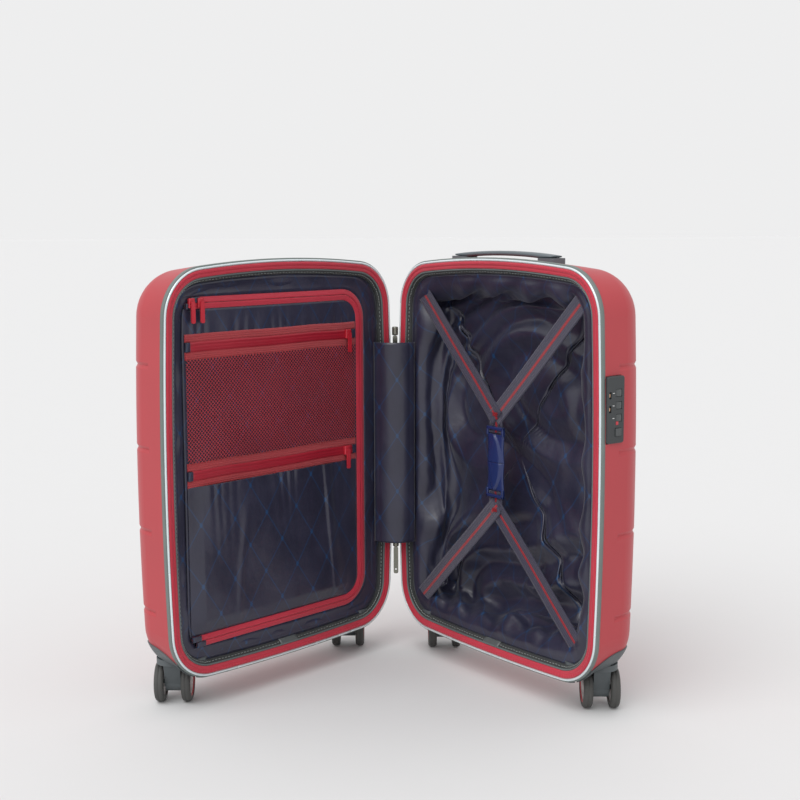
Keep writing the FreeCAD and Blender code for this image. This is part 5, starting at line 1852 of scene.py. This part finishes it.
@dataclass
class LockDetails:
    """Small pieces on the lock: puller tips in their slots, index marks and a plain badge."""

    half: HalfFrame = BASE
    centre: float = 0.375
    near: float = 0.009
    lip: float = 0.008
    proud: float = 0.0014
    slots: Pair = (0.017, 0.001)
    first_mark: float = 0.005
    dial_pitch: float = 0.0145

    def build(self) -> None:
        """Make the lock's puller tips, index marks and badge."""
        face = self.face()
        tips = []
        for height in (self.centre + up for up in self.slots):
            tips.append(rounded_block((face - 0.0045, self.near + 0.0034, height - 0.0022),
                                      (face - 0.0008, self.near + 0.0058, height + 0.0022), 0.0006, self.half))
        dress(join_parts("lock_puller_tips", tips), BRASS, "base")
        marks = []
        for index in range(3):
            height = self.centre + self.first_mark + (index - 1) * self.dial_pitch
            marks.append(rounded_block((face - 0.0004, self.near + 0.0085, height - 0.0004),
                                       (face + 0.0003, self.near + 0.0112, height + 0.0004), 0.00015,
                                       self.half))
        dress(join_parts("lock_index_marks", marks), MARK, "base")
        badge = rounded_block((face - 0.0004, self.near + 0.0140, self.centre - 0.0175),
                              (face + 0.0004, self.near + 0.0178, self.centre - 0.0135), 0.0003, self.half)
        dress(join_parts("lock_red_key_mark", [badge]), PULL, "base")

    def face(self) -> float:
        """Distance of the lock's face from the hinge axis."""
        return RIM.far - (self.near - self.lip) * DRAFT + self.proud


# ================================================================ casters
@dataclass
class Wheel:
    """One caster wheel: a round-shouldered tyre and a dished hub with spokes."""

    name: str
    outward: float
    steps: int = 72
    hub_share: float = 0.76
    spokes: int = 6
    seam: float = 0.0003
    spoke_rise: float = 0.0016

    def build(self) -> None:
        """Make the tyre and the hub where the CAD wheel is."""
        low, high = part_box(self.name)
        centre = (low + high) / 2.0
        radius = (high.z - low.z) / 2.0
        half = (high.x - low.x) / 2.0
        hub = radius * self.hub_share
        tyre = [(hub, -half), (radius - 0.0026, -half), (radius - 0.0009, -half * 0.84), (radius, -half * 0.58),
                (radius, -self.seam), (radius - self.seam, 0.0), (radius, self.seam), (radius, half * 0.58),
                (radius - 0.0009, half * 0.84), (radius - 0.0026, half), (hub, half)]
        piece = self.turned(f"{self.name}_tyre", centre, tyre, None)
        dress(piece, TYRE, self.name, (self.name,))
        side = self.outward
        core = [(0.0031, -0.0036 * side), (hub, -0.0042 * side), (hub, half * 0.86 * side),
                (hub - 0.0014, half * 0.90 * side), (hub - 0.0030, half * 0.72 * side),
                (hub * 0.62, 0.0026 * side), (hub * 0.34, 0.0032 * side), (hub * 0.26, 0.0050 * side),
                (0.0016, 0.0052 * side),
                (0.0016, 0.0044 * side)]
        dress(self.turned(f"{self.name}_hub", centre, core, (5, self.spoke_rise)), HUB, self.name)
        ring = [(hub - 0.0032, half * 0.70 * side), (hub - 0.0015, half * 0.93 * side),
                (hub - 0.0003, half * 0.93 * side), (hub - 0.0003, half * 0.70 * side)]
        dress(self.turned(f"{self.name}_ring", centre, ring, None), HUB_RED, self.name)

    def turned(self, name: str, centre: Vector, profile: Sequence[Pair],
               spoke: tuple[int, float] | None) -> Object:
        """Turn a closed (radius, side) profile about the axle.

        Args:
            name: The piece's name.
            centre: The wheel's centre.
            profile: The profile's points.
            spoke: The profile point that the spokes raise, and by how much.

        Returns:
            The linked object.
        """
        points = []
        for step in range(self.steps):
            angle = 2.0 * math.pi * step / self.steps
            for index, (radius, side) in enumerate(profile):
                if spoke and index == spoke[0]:
                    side += self.outward * spoke[1] * (1.0 if math.cos(self.spokes * angle) > 0.2 else 0.0)
                points.append(centre + Vector((side, radius * math.cos(angle), radius * math.sin(angle))))
        faces = ring_faces(self.steps, len(profile), closed=True)
        uvs = [[(points[k].y, points[k].z) for k in f] for f in faces]
        return new_piece(name, points, faces, uvs)


# ================================================================ CAD nodes that stay
KEPT_FINISHES: dict[str, Finish] = {
    "base_shell": SHELL,
    "lid_shell": SHELL,
    "base_caster_housings": HOUSING,
    "lid_caster_housings": HOUSING,
    "base_caster_screws": STEEL,
    "lid_caster_screws": STEEL,
    "trolley_tray": HOUSING,
    "trolley_outer_tubes": TUBES,
    "trolley_middle_tubes": TUBES,
    "trolley_inner_tubes": TUBES,
    "trolley_grip": GRIP,
    "trolley_button": LOCK,
    "trolley_foot": HOUSING,
    "carry_handle_anchors": GRIP,
    "lock_case": LOCK,
    "lock_release": DIAL,
    "lock_dial_1": DIAL,
    "lock_dial_2": DIAL,
    "lock_dial_3": DIAL,
    "divider_slider_end": PULL,
    "divider_pull_end": PULL,
    "divider_slider_run": PULL,
    "pocket_slider_upper": PULL,
    "pocket_slider_lower": PULL,
    "zip_slider_top": GUNMETAL,
    "zip_slider_bottom": GUNMETAL,
    "zip_pull_top": GUNMETAL,
    "zip_pull_bottom": GUNMETAL,
}


def dress_frame() -> None:
    """Give every CAD node that stays in view its finish."""
    for name, finish in KEPT_FINISHES.items():
        node = frame["nodes"][name]
        for index in range(max(1, len(node.material_slots))):
            if index < len(node.material_slots):
                node.material_slots[index].material = finish.material()
            else:
                node.data.materials.append(finish.material())
        LOG.info("%s: %s", name, finish.name)
    for name, node in frame["nodes"].items():
        if name.endswith("_fork"):
            node.material_slots[0].material = HOUSING.material()
            LOG.info("%s: %s", name, HOUSING.name)


# ================================================================ studio
@dataclass
class Studio:
    """Floor, light and camera."""

    backdrop: Colour = (0.855, 0.855, 0.858)
    floor_albedo: float = 0.70
    floor_half: float = 60.0
    world_strength: float = 1.0
    sun_strength: float = 1.5
    sun_angle_deg: float = 50.0
    sun_direction: Colour = (0.45, 0.62, -0.95)
    lens: float = 61.25
    eye: Colour = (0.00328, -1.85187, 0.58757)
    yaw: float = 0.0017
    pitch: float = 0.1286
    roll: float = -0.0035

    def build(self) -> None:
        """Make the floor, the light and the camera."""
        self.build_floor()
        self.build_light()
        self.build_camera()
        bpy.context.scene.view_settings.view_transform = "Standard"

    def build_floor(self) -> None:
        """A plain pale floor with a faint grain."""
        reach = self.floor_half
        corners = [Vector((x, y, 0.0)) for x, y in ((-reach, -reach), (reach, -reach), (reach, reach),
                                                   (-reach, reach))]
        floor = new_piece("studio_floor", corners, [(0, 1, 2, 3)], smooth=False)
        tone = self.floor_albedo
        paper = Finish("floor_paper", "shell_red", (tone, tone, tone),
                       (tone + 0.004, tone + 0.004, tone + 0.006), (0.9, 0.95), grain=40.0, bump=0.02,
                       specular=0.1)
        floor.data.materials.append(paper.material())
        if floor.data.polygons[0].normal.z < 0.0:
            floor.data.flip_normals()

    def build_light(self) -> None:
        """Even light from all round and a broad key from the upper left."""
        world = bpy.data.worlds.new("studio")
        world.use_nodes = True
        ground = world.node_tree.nodes["Background"]
        ground.inputs["Color"].default_value = (*self.backdrop, 1.0)
        ground.inputs["Strength"].default_value = self.world_strength
        bpy.context.scene.world = world
        key = bpy.data.lights.new("key", "SUN")
        key.energy = self.sun_strength
        key.angle = math.radians(self.sun_angle_deg)
        lamp = bpy.data.objects.new("key", key)
        lamp.rotation_euler = Vector(self.sun_direction).to_track_quat("-Z", "Y").to_euler()
        bpy.context.scene.collection.objects.link(lamp)

    def build_camera(self) -> None:
        """The camera, in front of the hinge and a little above the case."""
        data = bpy.data.cameras.new("camera")
        data.lens = self.lens
        data.sensor_width = 36.0
        data.clip_end = 200.0
        camera = bpy.data.objects.new("camera", data)
        level = math.cos(self.pitch)
        forward = Vector((math.sin(self.yaw) * level, math.cos(self.yaw) * level, -math.sin(self.pitch)))
        right = Vector((math.cos(self.yaw), -math.sin(self.yaw), 0.0))
        up = right.cross(forward)
        side = right * math.cos(self.roll) + up * math.sin(self.roll)
        top = up * math.cos(self.roll) - right * math.sin(self.roll)
        turn = Matrix((side, top, -forward)).transposed().to_4x4()
        place = Vector((HINGE[0] + self.eye[0], HINGE[1] + self.eye[1], self.eye[2]))
        camera.matrix_world = Matrix.Translation(place) @ turn
        bpy.context.scene.collection.objects.link(camera)
        bpy.context.scene.camera = camera


# ================================================================ the whole case
class Suitcase:
    """The opened case, sub-assembly by sub-assembly."""

    def build(self) -> None:
        """Build every sub-assembly in order."""
        dress_frame()
        for half in (BASE, LID):
            Rim(half).build()
        Lining(BASE, BASE_LINING_DEPTH).build()
        Lining(LID, LID_LINING_DEPTH).build()
        Divider().build()
        HingeCloths().build()
        Straps().build()
        CarryHandle().build()
        LockDetails().build()
        for half in ("base", "lid"):
            for place in ("rear", "front"):
                Wheel(f"{half}_{place}_wheel_left", -1.0).build()
                Wheel(f"{half}_{place}_wheel_right", 1.0).build()


def main() -> None:
    """Build the case and the studio."""
    logging.basicConfig(level=logging.INFO, format="%(message)s")
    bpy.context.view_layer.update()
    Suitcase().build()
    Studio().build()


if __name__ == "__main__":
    main()
